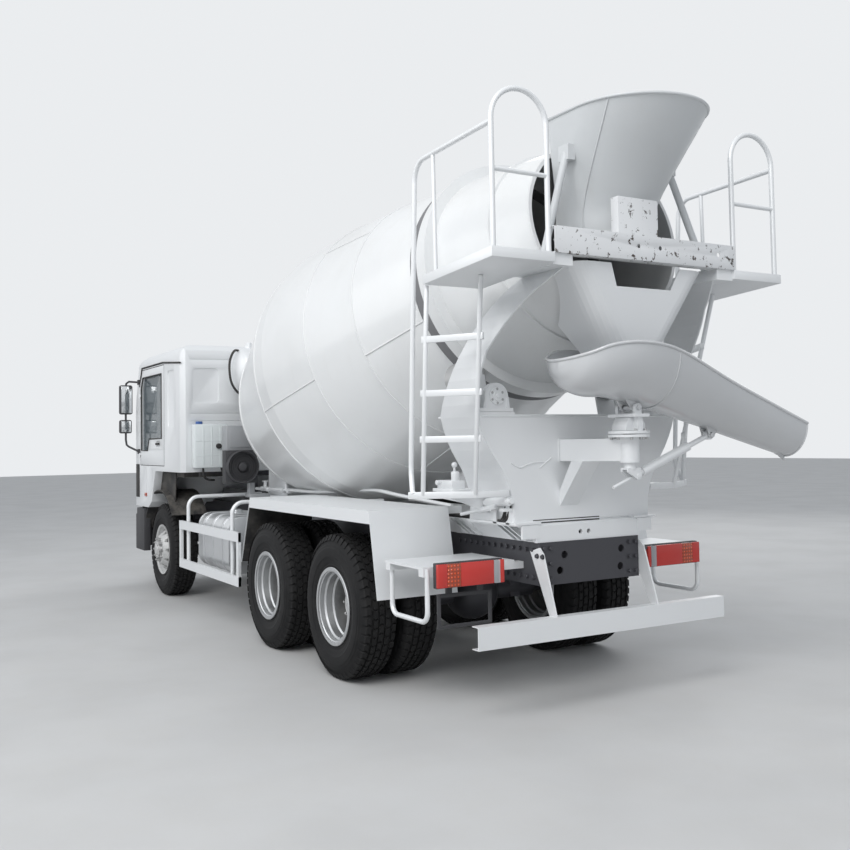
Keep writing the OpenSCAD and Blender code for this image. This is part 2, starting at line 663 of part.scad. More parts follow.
// Height over x of a level w above the platforms' lower face.
function deck_at(x, w) = deck_z - (x - deck_x) * tan(deck_slope) + w / cos(deck_slope);
module on_deck() {
    translate([deck_x, 0, deck_z]) rotate([0, deck_slope, 0]) children();
}
module platforms() {
    color(white) {
        both() on_deck() difference() {
            block([0, deck_in, 0], [deck_len, deck_out, 60]);
            block([6, deck_in + 6, 6], [deck_len - 6, deck_out - 6, 61]);
        }
        both() on_deck() block([deck_len - 1, ladder_y - 40, 0], [deck_len + 95, ladder_y + 40, 6]);
        difference() {
            block([deck_x, -deck_in, deck_z + 60], [deck_x + 80, deck_in, deck_z + 220]);
            block([deck_x + 6, -deck_in - 1, deck_z + 66], [deck_x + 81, deck_in + 1, deck_z + 214]);
            for (y = [-90, 90, -600]) along([deck_x - 1, y, deck_z + 150], 14, 20);
        }
        // box post that stands on the beam against the hopper
        block([deck_x + 2, -75, deck_z + 220], [deck_x + 70, 250, deck_z + 450]);
    }
}
loop_in = 770;
loop_out = 1165;
loop_r = (loop_out - loop_in) / 2;
loop_x = deck_x + 30;
rail_z = 3560;
post_r = rail_tube_r - 3;
module half_loop() {
    foot = deck_at(loop_x - rail_tube_r, 6) + 0.3;
    pipe([[loop_x, loop_in, foot], [loop_x, loop_in, rail_z + loop_r], [loop_x, loop_out, rail_z + loop_r],
        [loop_x, loop_out, foot]], rail_tube_r, 150);
    rod([loop_x, loop_in, 3305], [loop_x, loop_out, 3305], post_r);
    for (p = [[-3420, 3512], [-3078, 3490]])
        rod([p[0], loop_out, p[1]], [p[0], loop_out, deck_at(p[0] - post_r, 6) + 0.3], post_r);
}
ladder_y = 975;
// Ladder of the left side with its rear post at x.
module ladder(x) {
    for (a = [-2970, x]) rod([a, ladder_y, 1395], [a, ladder_y, deck_at(a + 16, 0) - 0.3], 16);
    for (z = [1690, 2030, 2370]) block([x - 30, ladder_y - 15, z], [-2940, ladder_y + 15, z + 40]);
    block([x - 40, ladder_y - 25, 1370], [-2740, ladder_y + 25, 1400]);
}
module handrails() {
    color(white) {
        both() half_loop();
        ladder(-3580);
        mirror([0, 1, 0]) ladder(-3520);
        pipe([[loop_x, loop_out, rail_z - 30], [-2830, loop_out, 3470], [-2800, loop_out, 1560],
            [-2790, ladder_y, 1385]], rail_tube_r, 120);
        rod([loop_x, -loop_out, rail_z - 30], [-3050, -loop_out, 3483], rail_tube_r);
    }
}

// Hopper and funnel

// Closed ring round a rear half circle and a straight front, t inside the outline.
function scoop_ring(xc, r, xf, z, t) = concat(
    [for (a = [90:15:270]) [xc + (r - t) * cos(a), (r - t) * sin(a), z]],
    [[xf - t, -(r - t), z], [xf - t, (r - t), z]]);
// Hopper sections: [z, x of the circle, radius, x of the front]
hopper_rows = [[3060, -3600, 330, -3490], [3300, -3640, 352, -3540], [3800, -3942, 463, -3610]];
module charge_hopper() {
    color([0.62, 0.66, 0.69]) {
        difference() {
            loft([for (r = hopper_rows) scoop_ring(r[1], r[2], r[3], r[0], 0)]);
            loft([for (r = hopper_rows)
                scoop_ring(r[1], r[2], r[3], r[0] + (r[0] > 3700 ? 1 : r[0] < 3100 ? -1 : 0), 7)]);
        }
        both() rod([-3860, 680, deck_z + 78], [-3790, 430, 3560], 24);
    }
}
// Funnel sections: [z, x of the rear, half width, x of the front]
function funnel_ring(z, xr, y, xf, t) = concat(
    arc3([xr + 140, y - 140], 140 - t, 90, 180, z), arc3([xr + 140, -y + 140], 140 - t, 180, 270, z),
    [[xf - t, -y + t, z], [xf - t, y - t, z]]);
function arc3(c, r, a0, a1, z) = [for (p = arc(c, r, a0, a1, 6)) [p[0], p[1], z]];
module collecting_funnel() {
    color(white) difference() {
        loft([funnel_ring(2268, -3950, 200, -3640, 0), funnel_ring(2830, -4010, 555, -3400, 0)]);
        loft([funnel_ring(2267, -3950, 200, -3640, 6), funnel_ring(2831, -4010, 555, -3400, 6)]);
        on_drum() translate([0, 0, -200]) cylinder(h = cone_s[1] + 200 + 40, r1 = cone_at(-200) + 30, r2 = cone_r[1] + 40);
        plate_yz([[-330, 2900], [-230, 2690], [222, 2690], [300, 2900]], -4100, 300);
    }
}

// Chute

arm_top = tilt_z - 40;
ear_x = 70;
ear_t = 25;
clevis_x = 22;
clevis_t = 14;
module chute_arm() {
    color(white) {
        translate([pivot_x, 0, 1544]) cylinder(h = 1774 - 1544, r = pivot_r);
        translate([pivot_x, 0, 1774]) cylinder(h = 18, r = 132);
        block([pivot_x - 110, -20, 1790], [pivot_x + 110, 20, arm_top - 10]);
        block([pivot_x - 130, -60, arm_top - 20], [pivot_x + 130, 60, arm_top]);
        // ears of the tilt pin
        both_x() difference() {
            union() {
                block([ear_x, -26, arm_top - 10], [ear_x + ear_t, 26, tilt_z]);
                along([ear_x, 0, tilt_z], 26, ear_t);
            }
            along([ear_x - 1, 0, tilt_z], pin_r + fit, ear_t + 2);
        }
        // clevis of the jack
        block([pivot_x - clevis_x - clevis_t, -64, 1544], [pivot_x + clevis_x + clevis_t, 45, 1556]);
        both_x() difference() {
            plate_yz([[45, 1556], [-64, 1556], [jack_p[0] - 24, jack_p[1]], [jack_p[0] - 12, jack_p[1] - 24],
                [jack_p[0] + 12, jack_p[1] - 24], [45, 1530]], clevis_x, clevis_t);
            along([clevis_x - 1, jack_p[0], jack_p[1]], pin_r + fit, clevis_t + 2);
        }
    }
}
// Children given from the swivel axis, and their mirror image in X.
module both_x() {
    translate([pivot_x, 0, 0]) {
        children();
        mirror([1, 0, 0]) children();
    }
}
// Chute sections: [y, half width, rim height, bottom height]
chute_rows = [[560, 12, 2235, 2195], [535, 130, 2245, 2115], [470, 235, 2270, 2050], [350, 310, 2315, 2010],
    [150, 350, 2330, 2003], [-150, 330, 2290, 1940], [-650, 270, 2110, 1815], [-1460, 205, 1832, 1600]];
// Points of one section on the y plane, wall t inside the outline.
function trough(row, t, y) = [for (i = [0:12]) let (a = 180 + 15 * i)
    [pivot_x + (row[1] - t) * cos(a), y, row[2] + (row[2] - row[3] - t) * sin(a)]];
// The same section carried up past the rim, for the hollow.
function hollow(row, t, y) = let (line = trough(row, t, y)) concat(
    [[line[0][0], y, row[2] + t]], line, [[line[12][0], y, row[2] + t]]);
module chute_dish() {
    last = len(chute_rows) - 1;
    difference() {
        loft([for (r = chute_rows) trough(r, 0, r[0])]);
        loft([for (i = [0:last]) hollow(chute_rows[i], chute_wall,
            chute_rows[i][0] - (i == 0 ? chute_wall : i == last ? 1 : 0))]);
    }
}
module chute() {
    color(white) {
        chute_dish();
        // tilt lugs and pin under the dish
        both_x() {
            plate_yz([[-24, tilt_z], [24, tilt_z], [60, 1995], [-60, 1975]], ear_x - 34, 24);
            along([ear_x - 34, 0, tilt_z], 24, 24);
        }
        along([pivot_x - ear_x - ear_t - 4, 0, tilt_z], pin_r, 2 * (ear_x + ear_t + 4));
        // clevis and pin of the jack's eye
        both_x() {
            plate_yz([[jack_e[0] - 22, jack_e[1]], [jack_e[0] + 22, jack_e[1]], [jack_e[0] + 50, 1826],
                [jack_e[0] - 60, 1796]], clevis_x, clevis_t);
            along([clevis_x, jack_e[0], jack_e[1]], 22, clevis_t);
        }
        along([pivot_x - clevis_x - clevis_t, jack_e[0], jack_e[1]], pin_r, 2 * (clevis_x + clevis_t));
    }
}

// Screw jack: [y, z] of its lower pin and of its eye
jack_p = [-45, 1505];
jack_e = [-704, 1758];
jack_r = 18;
jack_dir = (jack_e - jack_p) / norm(jack_e - jack_p);
function jack_at(d) = [pivot_x, jack_p[0] + d * jack_dir[0], jack_p[1] + d * jack_dir[1]];
module jack_barrel() {
    color(white) difference() {
        union() {
            rod(jack_at(60), jack_at(500), 30);
            rod(jack_at(-20), jack_at(65), 19);
            rod(jack_at(-200), jack_at(0), 11);
            along([pivot_x - 19, jack_p[0], jack_p[1]], 23, 38);
            along([pivot_x - 40, jack_p[0], jack_p[1]], pin_r, 80);
        }
        rod(jack_at(80), jack_at(501), jack_r + fit);
    }
}
module jack_rod() {
    color(white) {
        difference() {
            union() {
                rod(jack_at(300), jack_at(norm(jack_e - jack_p)), jack_r);
                along([pivot_x - 19, jack_e[0], jack_e[1]], 31, 38);
            }
            along([pivot_x - 20, jack_e[0], jack_e[1]], pin_r + 5, 40);
        }
    }
}

// Cab

cab_sill = 1010;
cab_sill_rear = 1455;
cab_hinge_x = 4230;
cab_hinge_z = 985;
arch_front = 3700;
hinge_pin_r = 16;
// Side outline of the cab, i inside the outer face
function cab_side(i) = [[cab_rear + i, cab_sill_rear + i], [cab_rear + i, cab_top - 60 - i],
    [cab_rear + 60 + i / 2, cab_top - i], [3700, cab_top - i], [3900 - i, cab_top - 90 - i],
    [cab_front - 90 - i, 1780], [cab_front - i, 1680], [cab_front + 20 - i, cab_sill + i],
    [arch_front + i, cab_sill + i],
    [arch_front - 90 + i, 1250 + i], [2560, 1250 + i], [2440, cab_sill_rear + i]];
// Outline of the cab seen from above, i inside the outer face
function cab_plan(i) = let (w = cab_w / 2 - i) concat(
    [[cab_rear + i, w - 50], [cab_rear + 50 + i, w], [cab_front - 300, w]],
    arc([cab_front - 290, w - 310], 310, 90, 0, 6), arc([cab_front - 290, -w + 310], 310, 0, -90, 6),
    [[cab_front - 300, -w], [cab_rear + 50 + i, -w], [cab_rear + i, -w + 50]]);
// Outline of the cab seen from behind, i inside the outer face
function cab_end(i) = let (w = cab_w / 2 - i, h = cab_top - i) concat(
    [[w, cab_sill - 10 + i], [w, h - 130]], arc([w - 130, h - 130], 130, 0, 90, 5),
    arc([-w + 130, h - 130], 130, 90, 180, 5), [[-w, cab_sill - 10 + i]]);
module cab_solid(i) {
    intersection() {
        plate_xz(cab_side(i), 0, cab_w);
        translate([0, 0, 900]) linear_extrude(2200) polygon(cab_plan(i));
        plate_yz(cab_end(i), cab_rear - 10, cab_front - cab_rear + 100);
    }
}
// Outline of a door in X and Z, g inside the opening
function door_line(g) = [[door_rear + g, 1290 + g], [door_rear + g, 2700 - g], [3760 - g, 2700 - g],
    [door_front - g, 2500 - g], [door_front - g, 1290 + g]];
// Room over the frame rails under the cab's front floor, i inside the floor's lower face.
module cab_tunnel(i) {
    block([arch_front - 200, -500 - i, cab_sill - 20], [cab_front - cab_t + i, 500 + i, 1130 + i]);
}
module cab_hollow() {
    difference() {
        cab_solid(cab_t);
        cab_tunnel(cab_t);
    }
}
module cab_shell() {
    color(white) both() {
        translate([cab_hinge_x, 400, 0]) block([-30, 0, cab_hinge_z], [30, 14, 1135]);
        across([cab_hinge_x, 407, cab_hinge_z], 30, 14);
        across([cab_hinge_x, 390, cab_hinge_z], hinge_pin_r, 48);
        cab_hinges();
    }
    color(white) difference() {
        cab_solid(0);
        cab_hollow();
        cab_tunnel(0);
        both() plate_xz(door_line(0), cab_w / 2, 3 * cab_t);
        // windscreen and rear window
        plate_yz([[-1020, 1850], [1020, 1850], [960, 2640], [-960, 2640]], 3700, 800);
        plate_yz([[-300, 2130], [300, 2130], [300, 2560], [-300, 2560]], cab_rear - 10, cab_t + 20);
    }
}
module cab_glass() {
    color([0.2, 0.25, 0.28, 0.5]) {
        intersection() {
            difference() {
                cab_solid(8);
                cab_solid(16);
            }
            plate_yz([[-1019.7, 1850.3], [1019.7, 1850.3], [959.7, 2639.7], [-959.7, 2639.7]], 3700, 800);
        }
        plate_yz([[-299.7, 2130.3], [299.7, 2130.3], [299.7, 2559.7], [-299.7, 2559.7]], cab_rear + 20, 8);
    }
}
module seats() {
    color([0.2, 0.2, 0.22]) {
        both() {
            block([3000, 330, 1300.3], [3480, 830, 1560]);
            block([2880, 330, 1560], [3010, 830, 2200]);
        }
        block([2140, -1100, 1505.3], [2700, 1100, 1640]);
    }
}
module dashboard() {
    color([0.2, 0.2, 0.22]) {
        block([3880, -1000, 1350], [4150, 1000, 1700]);
        rod([3900, 580, 1600], [3690, 580, 1760], 22);
        translate([3690, 580, 1760]) rotate([0, -50, 0]) rotate_extrude() translate([210, 0]) circle(r = 15);
        translate([3690, 580, 1760]) rotate([0, -50, 0]) for (a = [0, 120, 240])
            rotate([0, 0, a]) block([0, -14, -8], [205, 14, 8]);
    }
}
module mirrors() {
    color(black) both() {
        for (p = [[3900, 2560], [3960, 1690]])
            block([p[0] - 25, cab_w / 2 + 0.3, p[1] - 25], [p[0] + 25, cab_w / 2 + 20, p[1] + 25]);
        rod([3900, cab_w / 2 + 14, 2560], [4130, 1370, 2540], 12);
        rod([4120, 1360, 2560], [4120, 1360, 1710], 14);
        rod([3960, cab_w / 2 + 14, 1690], [4130, 1370, 1730], 12);
        block([4080, 1270, 2050], [4160, 1440, 2440]);
        block([4080, 1280, 1800], [4160, 1440, 1980]);
    }
}
module cab_trim() {
    color(black) {
        // sun visor over the windscreen
        difference() {
            plate_xz([[3860, cab_top - 80], [4130, cab_top - 190], [4130, cab_top - 165], [3860, cab_top - 20]],
                0, 2100);
            cab_solid(-0.3);
        }
        // wheel arch liners
        both() for (a = [30:15:120])
            translate([front_axle_x, 0, axle_z]) rotate([0, -a, 0]) block([695, 760, -95], [714.7, 1190, 95]);
    }
}
module expansion_tank() {
    color([0.75, 0.8, 0.8, 0.8]) block([cab_rear - 130, 560, 1560], [cab_rear, 1080, 1980]);
}
// Door hinges: their axis as [x, y], height of each and half length
hinge_axis = [door_front + 2, cab_w / 2 + 9];
hinge_zs = [1450, 2350];
hinge_h = 24;
hinge_r = 8;
module hinge_eye(z) {
    translate([hinge_axis[0], hinge_axis[1], z]) cylinder(h = hinge_h, r = hinge_r);
}
module cab_hinges() {
    for (z = hinge_zs) {
        hinge_eye(z);
        translate([hinge_axis[0], hinge_axis[1], z]) cylinder(h = 2 * hinge_h + 4, r = 4);
        block([hinge_axis[0] + 3, cab_w / 2 - 1, z], [hinge_axis[0] + 50, cab_w / 2 + 5, z + hinge_h]);
    }
}
module door_hinges() {
    for (z = hinge_zs) translate([0, 0, hinge_h + 0.3]) difference() {
        union() {
            hinge_eye(z);
            block([door_front - 60, cab_w / 2 - 1, z], [door_front - door_gap - 4, cab_w / 2 + 5, z + hinge_h]);
            block([door_front - 20, cab_w / 2 + 0.3, z], [hinge_axis[0], cab_w / 2 + 7, z + hinge_h]);
        }
        translate([hinge_axis[0], hinge_axis[1], z - 1]) cylinder(h = hinge_h + 2, r = 4 + fit);
    }
}
module door(s) {
    mirror([0, s < 0 ? 1 : 0, 0]) door_hinges();
    intersection() {
        difference() {
            cab_solid(0);
            cab_solid(cab_t);
            plate_xz(window_line, s * cab_w / 2, 4 * cab_t);
        }
        plate_xz(door_line(door_gap), s * (cab_w / 2 - cab_t / 2), cab_t + 40);
    }
}
// Outline of a door's window
window_line = [[door_rear + 110, 1840], [door_rear + 110, 2600], [3720, 2600], [3790, 2480], [3790, 1700],
    [3500, 1700], [3420, 1840]];
module door_glass(s) {
    plate_xz(window_line, s * (cab_w / 2 - cab_t / 2), 6);
}
module door_left() { color(white) door(1); }
module door_right() { color(white) door(-1); }
module door_glass_left() { color([0.2, 0.25, 0.28, 0.5]) door_glass(1); }
module door_glass_right() { color([0.2, 0.25, 0.28, 0.5]) door_glass(-1); }

frame();
subframe();
engine();
front_axle();
drive_axles();
fuel_tank();
battery_box();
exhaust();
side_guards();
fenders();
rear_steps();
tail_lamps();
underrun_guard();
front_pedestal();
drum_drive();
rear_pedestal();
platforms();
handrails();
charge_hopper();
collecting_funnel();
water_tank();
oil_cooler();
bumper();
headlamps();
cab_shell();
cab_glass();
seats();
dashboard();
mirrors();
cab_trim();
expansion_tank();
door_left();
door_glass_left();
door_right();
door_glass_right();
drum_shell();
drum_neck();
roller_left();
roller_right();
knuckle_left();
knuckle_right();
tie_rod();
tyre_front_left();
rim_front_left();
tyre_front_right();
rim_front_right();
tyres_mid_left();
rims_mid_left();
tyres_mid_right();
rims_mid_right();
tyres_rear_left();
rims_rear_left();
tyres_rear_right();
rims_rear_right();
chute_arm();
chute();
jack_barrel();
jack_rod();
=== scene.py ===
"""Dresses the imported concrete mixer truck: its finishes, and the pieces that the solids leave to looks."""

import json
import logging
import math
from dataclasses import dataclass
from enum import Enum
from typing import Any, Sequence

import bmesh
import bpy
from mathutils import Matrix, Vector

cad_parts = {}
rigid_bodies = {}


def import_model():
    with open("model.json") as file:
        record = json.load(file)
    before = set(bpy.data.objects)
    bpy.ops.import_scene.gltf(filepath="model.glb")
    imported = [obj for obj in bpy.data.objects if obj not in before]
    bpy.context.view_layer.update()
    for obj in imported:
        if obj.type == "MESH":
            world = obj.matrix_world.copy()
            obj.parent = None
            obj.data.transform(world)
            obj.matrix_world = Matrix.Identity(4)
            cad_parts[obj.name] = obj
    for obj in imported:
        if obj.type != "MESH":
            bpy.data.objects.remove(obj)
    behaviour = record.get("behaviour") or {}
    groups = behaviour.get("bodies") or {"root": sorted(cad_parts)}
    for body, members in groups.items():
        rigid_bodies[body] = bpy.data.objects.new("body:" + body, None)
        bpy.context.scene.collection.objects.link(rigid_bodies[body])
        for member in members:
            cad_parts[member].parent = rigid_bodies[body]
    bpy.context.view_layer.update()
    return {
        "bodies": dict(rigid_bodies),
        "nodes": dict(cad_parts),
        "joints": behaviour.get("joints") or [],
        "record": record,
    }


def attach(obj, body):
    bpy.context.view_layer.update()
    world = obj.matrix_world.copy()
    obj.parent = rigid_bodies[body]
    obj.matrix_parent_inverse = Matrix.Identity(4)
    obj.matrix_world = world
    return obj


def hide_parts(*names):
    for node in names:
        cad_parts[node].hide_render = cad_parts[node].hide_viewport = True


log = logging.getLogger("mixer")
Point = tuple[float, float, float]
Spot = tuple[float, float]
Thing = bpy.types.Object
SIDES = (("left", 1), ("right", -1))
AHEAD, LEFT, UP = (1, 0, 0), (0, 1, 0), (0, 0, 1)


class Body(Enum):
    """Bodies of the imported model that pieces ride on."""

    CHASSIS = "chassis"
    CAB = "cab"
    DRUM = "drum"
    ARM = "swivel_arm"
    CHUTE = "chute_trough"


class Sock:
    """A shader or geometry socket that takes part in Python expressions."""

    def __init__(self, tree: "Tree", socket: Any) -> None:
        """Wraps a socket of a tree."""
        self.tree = tree
        self.socket = socket

    def _math(self, operation: str, a: Any, b: Any) -> "Sock":
        """Adds one Math node for a and b.

        Args:
            operation: The Math node's operation.
            a: First value or socket.
            b: Second value or socket.
        Returns:
            The node's result.
        """
        return self.tree.node("ShaderNodeMath", {"operation": operation}, {0: a, 1: b})

    def __add__(self, other: Any) -> "Sock":
        """Sum."""
        return self._math("ADD", self, other)

    __radd__ = __add__

    def __sub__(self, other: Any) -> "Sock":
        """Difference."""
        return self._math("SUBTRACT", self, other)

    def __rsub__(self, other: Any) -> "Sock":
        """Reflected difference."""
        return self._math("SUBTRACT", other, self)

    def __mul__(self, other: Any) -> "Sock":
        """Product."""
        return self._math("MULTIPLY", self, other)

    __rmul__ = __mul__

    def __truediv__(self, other: Any) -> "Sock":
        """Quotient."""
        return self._math("DIVIDE", self, other)

    def __pow__(self, other: Any) -> "Sock":
        """Power."""
        return self._math("POWER", self, other)

    def clamp(self) -> "Sock":
        """The value held between 0 and 1."""
        return self.step(0.0, 1.0, smooth=False)

    def step(self, low: float, high: float, smooth: bool = True) -> "Sock":
        """Ramp from 0 at low to 1 at high.

        Args:
            low: Value that gives 0.
            high: Value that gives 1.
            smooth: Whether the ramp eases in and out.
        Returns:
            The ramp's value.
        """
        kind = {"interpolation_type": "SMOOTHSTEP" if smooth else "LINEAR"}
        return self.tree.node("ShaderNodeMapRange", kind, {"Value": self, "From Min": low, "From Max": high})


class Tree:
    """A node tree with one way to add a node."""

    def __init__(self, tree: Any) -> None:
        """Wraps a node tree."""
        self.tree = tree

    def node(self, kind: str, settings: dict[str, Any] | None = None, inputs: dict[Any, Any] | None = None,
             output: Any = 0) -> Sock:
        """Adds a node, its settings first, and then the values or links of its sockets.

        Args:
            kind: The node's type.
            settings: Attributes set before the sockets.
            inputs: Values or Socks by socket name or number.
            output: Name or number of the output that is returned.
        Returns:
            The chosen output.
        """
        made = self.tree.nodes.new(kind)
        for key, value in (settings or {}).items():
            setattr(made, key, value)
        for key, value in (inputs or {}).items():
            target = made.inputs[key]
            if isinstance(value, Sock):
                self.tree.links.new(value.socket, target)
            else:
                target.default_value = value
        return Sock(self, made.outputs[output]) if made.outputs else Sock(self, None)


class Shader(Tree):
    """A material's tree with the textures that the finishes share."""

    def __init__(self, name: str) -> None:
        """Starts an empty material of that name."""
        self.material = bpy.data.materials.new(name)
        self.material.use_nodes = True
        super().__init__(self.material.node_tree)
        self.tree.nodes.clear()
        coordinates = self.tree.nodes.new("ShaderNodeTexCoord")
        self.place = Sock(self, coordinates.outputs["Object"])
        self.facing = Sock(self, coordinates.outputs["Normal"])

    def stretched(self, scale: Point) -> Sock:
        """Object coordinates scaled by axis."""
        return self.node("ShaderNodeMapping", {}, {"Vector": self.place, "Scale": scale})

    def noise(self, scale: float, detail: float = 4.0, rough: float = 0.6, place: Sock | None = None) -> Sock:
        """Noise on Object coordinates.

        Args:
            scale: Size of the pattern, in waves a metre.
            detail: Octaves.
            rough: Share of the fine octaves.
            place: Other coordinates, where the pattern is stretched.
        Returns:
            The noise's value.
        """
        return self.node("ShaderNodeTexNoise", {}, {"Vector": place or self.place, "Scale": scale, "Detail": detail,
                                                    "Roughness": rough})

    def cells(self, scale: float, place: Sock | None = None) -> Sock:
        """Distance to the nearest cell point."""
        return self.node("ShaderNodeTexVoronoi", {}, {"Vector": place or self.place, "Scale": scale})

    def axis(self, name: str, vector: Sock | None = None) -> Sock:
        """One component of the coordinates or of another vector."""
        return self.node("ShaderNodeSeparateXYZ", {}, {0: vector or self.place}, name)

    def mix(self, share: Any, a: Any, b: Any) -> Sock:
        """Colour between a and b.

        Args:
            share: Share of b.
            a: Colour or Sock.
            b: Colour or Sock.
        Returns:
            The mixed colour.
        """
        made = self.tree.nodes.new("ShaderNodeMix")
        made.data_type = "RGBA"
        for target, value in ((made.inputs[0], share), (made.inputs[6], a), (made.inputs[7], b)):
            if isinstance(value, Sock):
                self.tree.links.new(value.socket, target)
            else:
                target.default_value = value if isinstance(value, float) else (*value, 1.0)
        return Sock(self, made.outputs[2])

    def bump(self, height: Sock, strength: float, distance: float) -> Sock:
        """Normal from a height."""
        return self.node("ShaderNodeBump", {}, {"Strength": strength, "Distance": distance, "Height": height})

    def finish(self, inputs: dict[str, Any]) -> bpy.types.Material:
        """Ends the tree in a Principled shader.

        Args:
            inputs: Values or Socks by the shader's socket names.
        Returns:
            The material.
        """
        flat = {k: (*v, 1.0) if isinstance(v, tuple) and len(v) == 3 else v for k, v in inputs.items()}
        shader = self.node("ShaderNodeBsdfPrincipled", {}, flat)
        self.node("ShaderNodeOutputMaterial", {}, {"Surface": shader})
        return self.material


@dataclass(frozen=True)
class Paint:
    """Sprayed paint with dust on what faces up, dull patches, runs of dirt and chips down to rust."""

    name: str
    colour: Point
    rough: float = 0.3
    dust: float = 0.35
    chips: float = 0.3
    metal: float = 0.0
    coat: float = 0.3
    dust_colour: Point = (0.50, 0.46, 0.40)
    rust_colour: Point = (0.16, 0.075, 0.035)
    orange_peel: float = 0.05
    flake_from: float = 0.69
    flake_where: float = 0.52

    def build(self) -> bpy.types.Material:
        """Builds the paint's material."""
        s = Shader(self.name)
        up = s.axis("Z", s.facing).step(0.15, 1.0)
        film = s.noise(2.2, 6, 0.65).step(0.3, 0.75)
        grain = s.noise(38, 3, 0.6).step(0.35, 0.75)
        runs = s.noise(1.6, 5, 0.7, s.stretched((5.5, 5.5, 0.45))).step(0.52, 0.8)
        low = 1 - s.axis("Z").step(0.3, 1.5)
        dust = ((film * 0.5 + grain * 0.15 + 0.1) * (up * 0.8 + low * 0.75 + 0.18) + runs * 0.16) * self.dust
        flaking = s.noise(17, 8, 0.72).step(self.flake_from, self.flake_from + 0.03)
        flake = flaking * s.noise(1.3, 3, 0.5).step(self.flake_where, self.flake_where + 0.1) * self.chips
        tone = s.mix(s.noise(0.9, 3, 0.5).step(0.35, 0.7), self.colour, tuple(c * 0.93 for c in self.colour))
        dirty = s.mix(dust.clamp(), tone, self.dust_colour)
        rusty = s.mix(s.noise(60, 4, 0.6).step(0.4, 0.6), self.rust_colour, tuple(c * 1.9 for c in self.rust_colour))
        colour = s.mix(flake.clamp(), dirty, rusty)
        rough = self.rough + dust * 0.55 + flake * 0.5 + s.noise(6, 3, 0.5) * 0.06
        height = s.noise(90, 2, 0.5) * self.orange_peel - flake * 0.8 + grain * dust * 0.3
        return s.finish({"Base Color": colour, "Roughness": rough.clamp(), "Metallic": self.metal,
                         "Coat Weight": self.coat, "Coat Roughness": 0.12, "Normal": s.bump(height, 0.35, 0.004)})


@dataclass(frozen=True)
class Metal:
    """Bare metal: brushed or cast, with oil stains, fine scratches and a bloom of rust."""

    name: str
    colour: Point
    rough: float
    rust: float = 0.15
    grain: float = 60.0
    stretch: Point = (1.0, 1.0, 1.0)
    relief: float = 0.15

    def build(self) -> bpy.types.Material:
        """Builds the metal's material."""
        s = Shader(self.name)
        brushed = s.noise(self.grain, 5, 0.7, s.stretched(self.stretch))
        stain = s.noise(5, 5, 0.65).step(0.42, 0.7)
        bloom = s.noise(11, 7, 0.72).step(0.56, 0.75) * self.rust
        base = s.mix(stain * 0.5, self.colour, tuple(c * 0.6 for c in self.colour))
        colour = s.mix(bloom.clamp(), base, (0.17, 0.085, 0.04))
        rough = self.rough + brushed * 0.14 + stain * 0.1 + bloom * 0.4
        return s.finish({"Base Color": colour, "Roughness": rough.clamp(), "Metallic": (1 - bloom).clamp(),
                         "Normal": s.bump(brushed + bloom, self.relief, 0.003)})


@dataclass(frozen=True)
class Moulded:
    """Grained plastic or rubber, greyed by dust and rubbed bright in patches."""

    name: str
    colour: Point
    rough: float = 0.55
    dust: float = 0.3
    grain: float = 240.0
    relief: float = 0.25
    alpha: float = 1.0

    def build(self) -> bpy.types.Material:
        """Builds the plastic's material."""
        s = Shader(self.name)
        grain = s.cells(self.grain)
        up = s.axis("Z", s.facing).step(-0.2, 1.0)
        film = s.noise(4.5, 6, 0.7).step(0.32, 0.72)
        low = 1 - s.axis("Z").step(0.1, 1.1)
        dust = film * (up * 0.5 + low * 0.5 + 0.25) * self.dust
        colour = s.mix(dust.clamp(), self.colour, (0.34, 0.31, 0.27))
        rough = self.rough + dust * 0.4 + s.noise(9, 3, 0.5) * 0.1
        return s.finish({"Base Color": colour, "Roughness": rough.clamp(), "Alpha": self.alpha,
                         "Normal": s.bump(grain, self.relief, 0.0012)})


@dataclass(frozen=True)
class Clear:
    """Glass or a lens: smooth, with a film of dust, and ribbed where it is a lamp's lens, its prisms painted brighter
    as a painted glint.
    """

    name: str
    colour: Point
    alpha: float
    rough: float = 0.05
    dust: float = 0.25
    ribs: float = 0.0
    glow: float = 0.0

    def build(self) -> bpy.types.Material:
        """Builds the glass's material."""
        s = Shader(self.name)
        film = s.noise(3.5, 6, 0.7).step(0.4, 0.8) * self.dust
        colour = s.mix(film.clamp(), self.colour, (0.5, 0.48, 0.44))
        values = {"Base Color": colour, "Roughness": (self.rough + film * 0.5).clamp(),
                  "Alpha": (self.alpha + film * 0.5).clamp(), "Coat Weight": 0.6, "Coat Roughness": 0.05}
        if self.ribs:
            wave = s.node("ShaderNodeTexWave", {"bands_direction": "Y", "wave_profile": "TRI"},
                          {"Vector": s.place, "Scale": self.ribs, "Distortion": 0.0})
            cross = s.node("ShaderNodeTexWave", {"bands_direction": "Z", "wave_profile": "TRI"},
                           {"Vector": s.place, "Scale": self.ribs, "Distortion": 0.0})
            prism = (wave * cross).step(0.1, 0.7)
            # The prisms' brighter colour is a painted glint: light caught in the ribbed lens, painted into the base
            # colour.
            values["Base Color"] = s.mix(prism, colour, tuple(min(1.0, c * 2.4 + 0.004) for c in self.colour))
            values["Normal"] = s.bump(prism, 0.8, 0.006)
        if self.glow:
            values["Emission Color"] = colour
            values["Emission Strength"] = self.glow
        return s.finish(values)


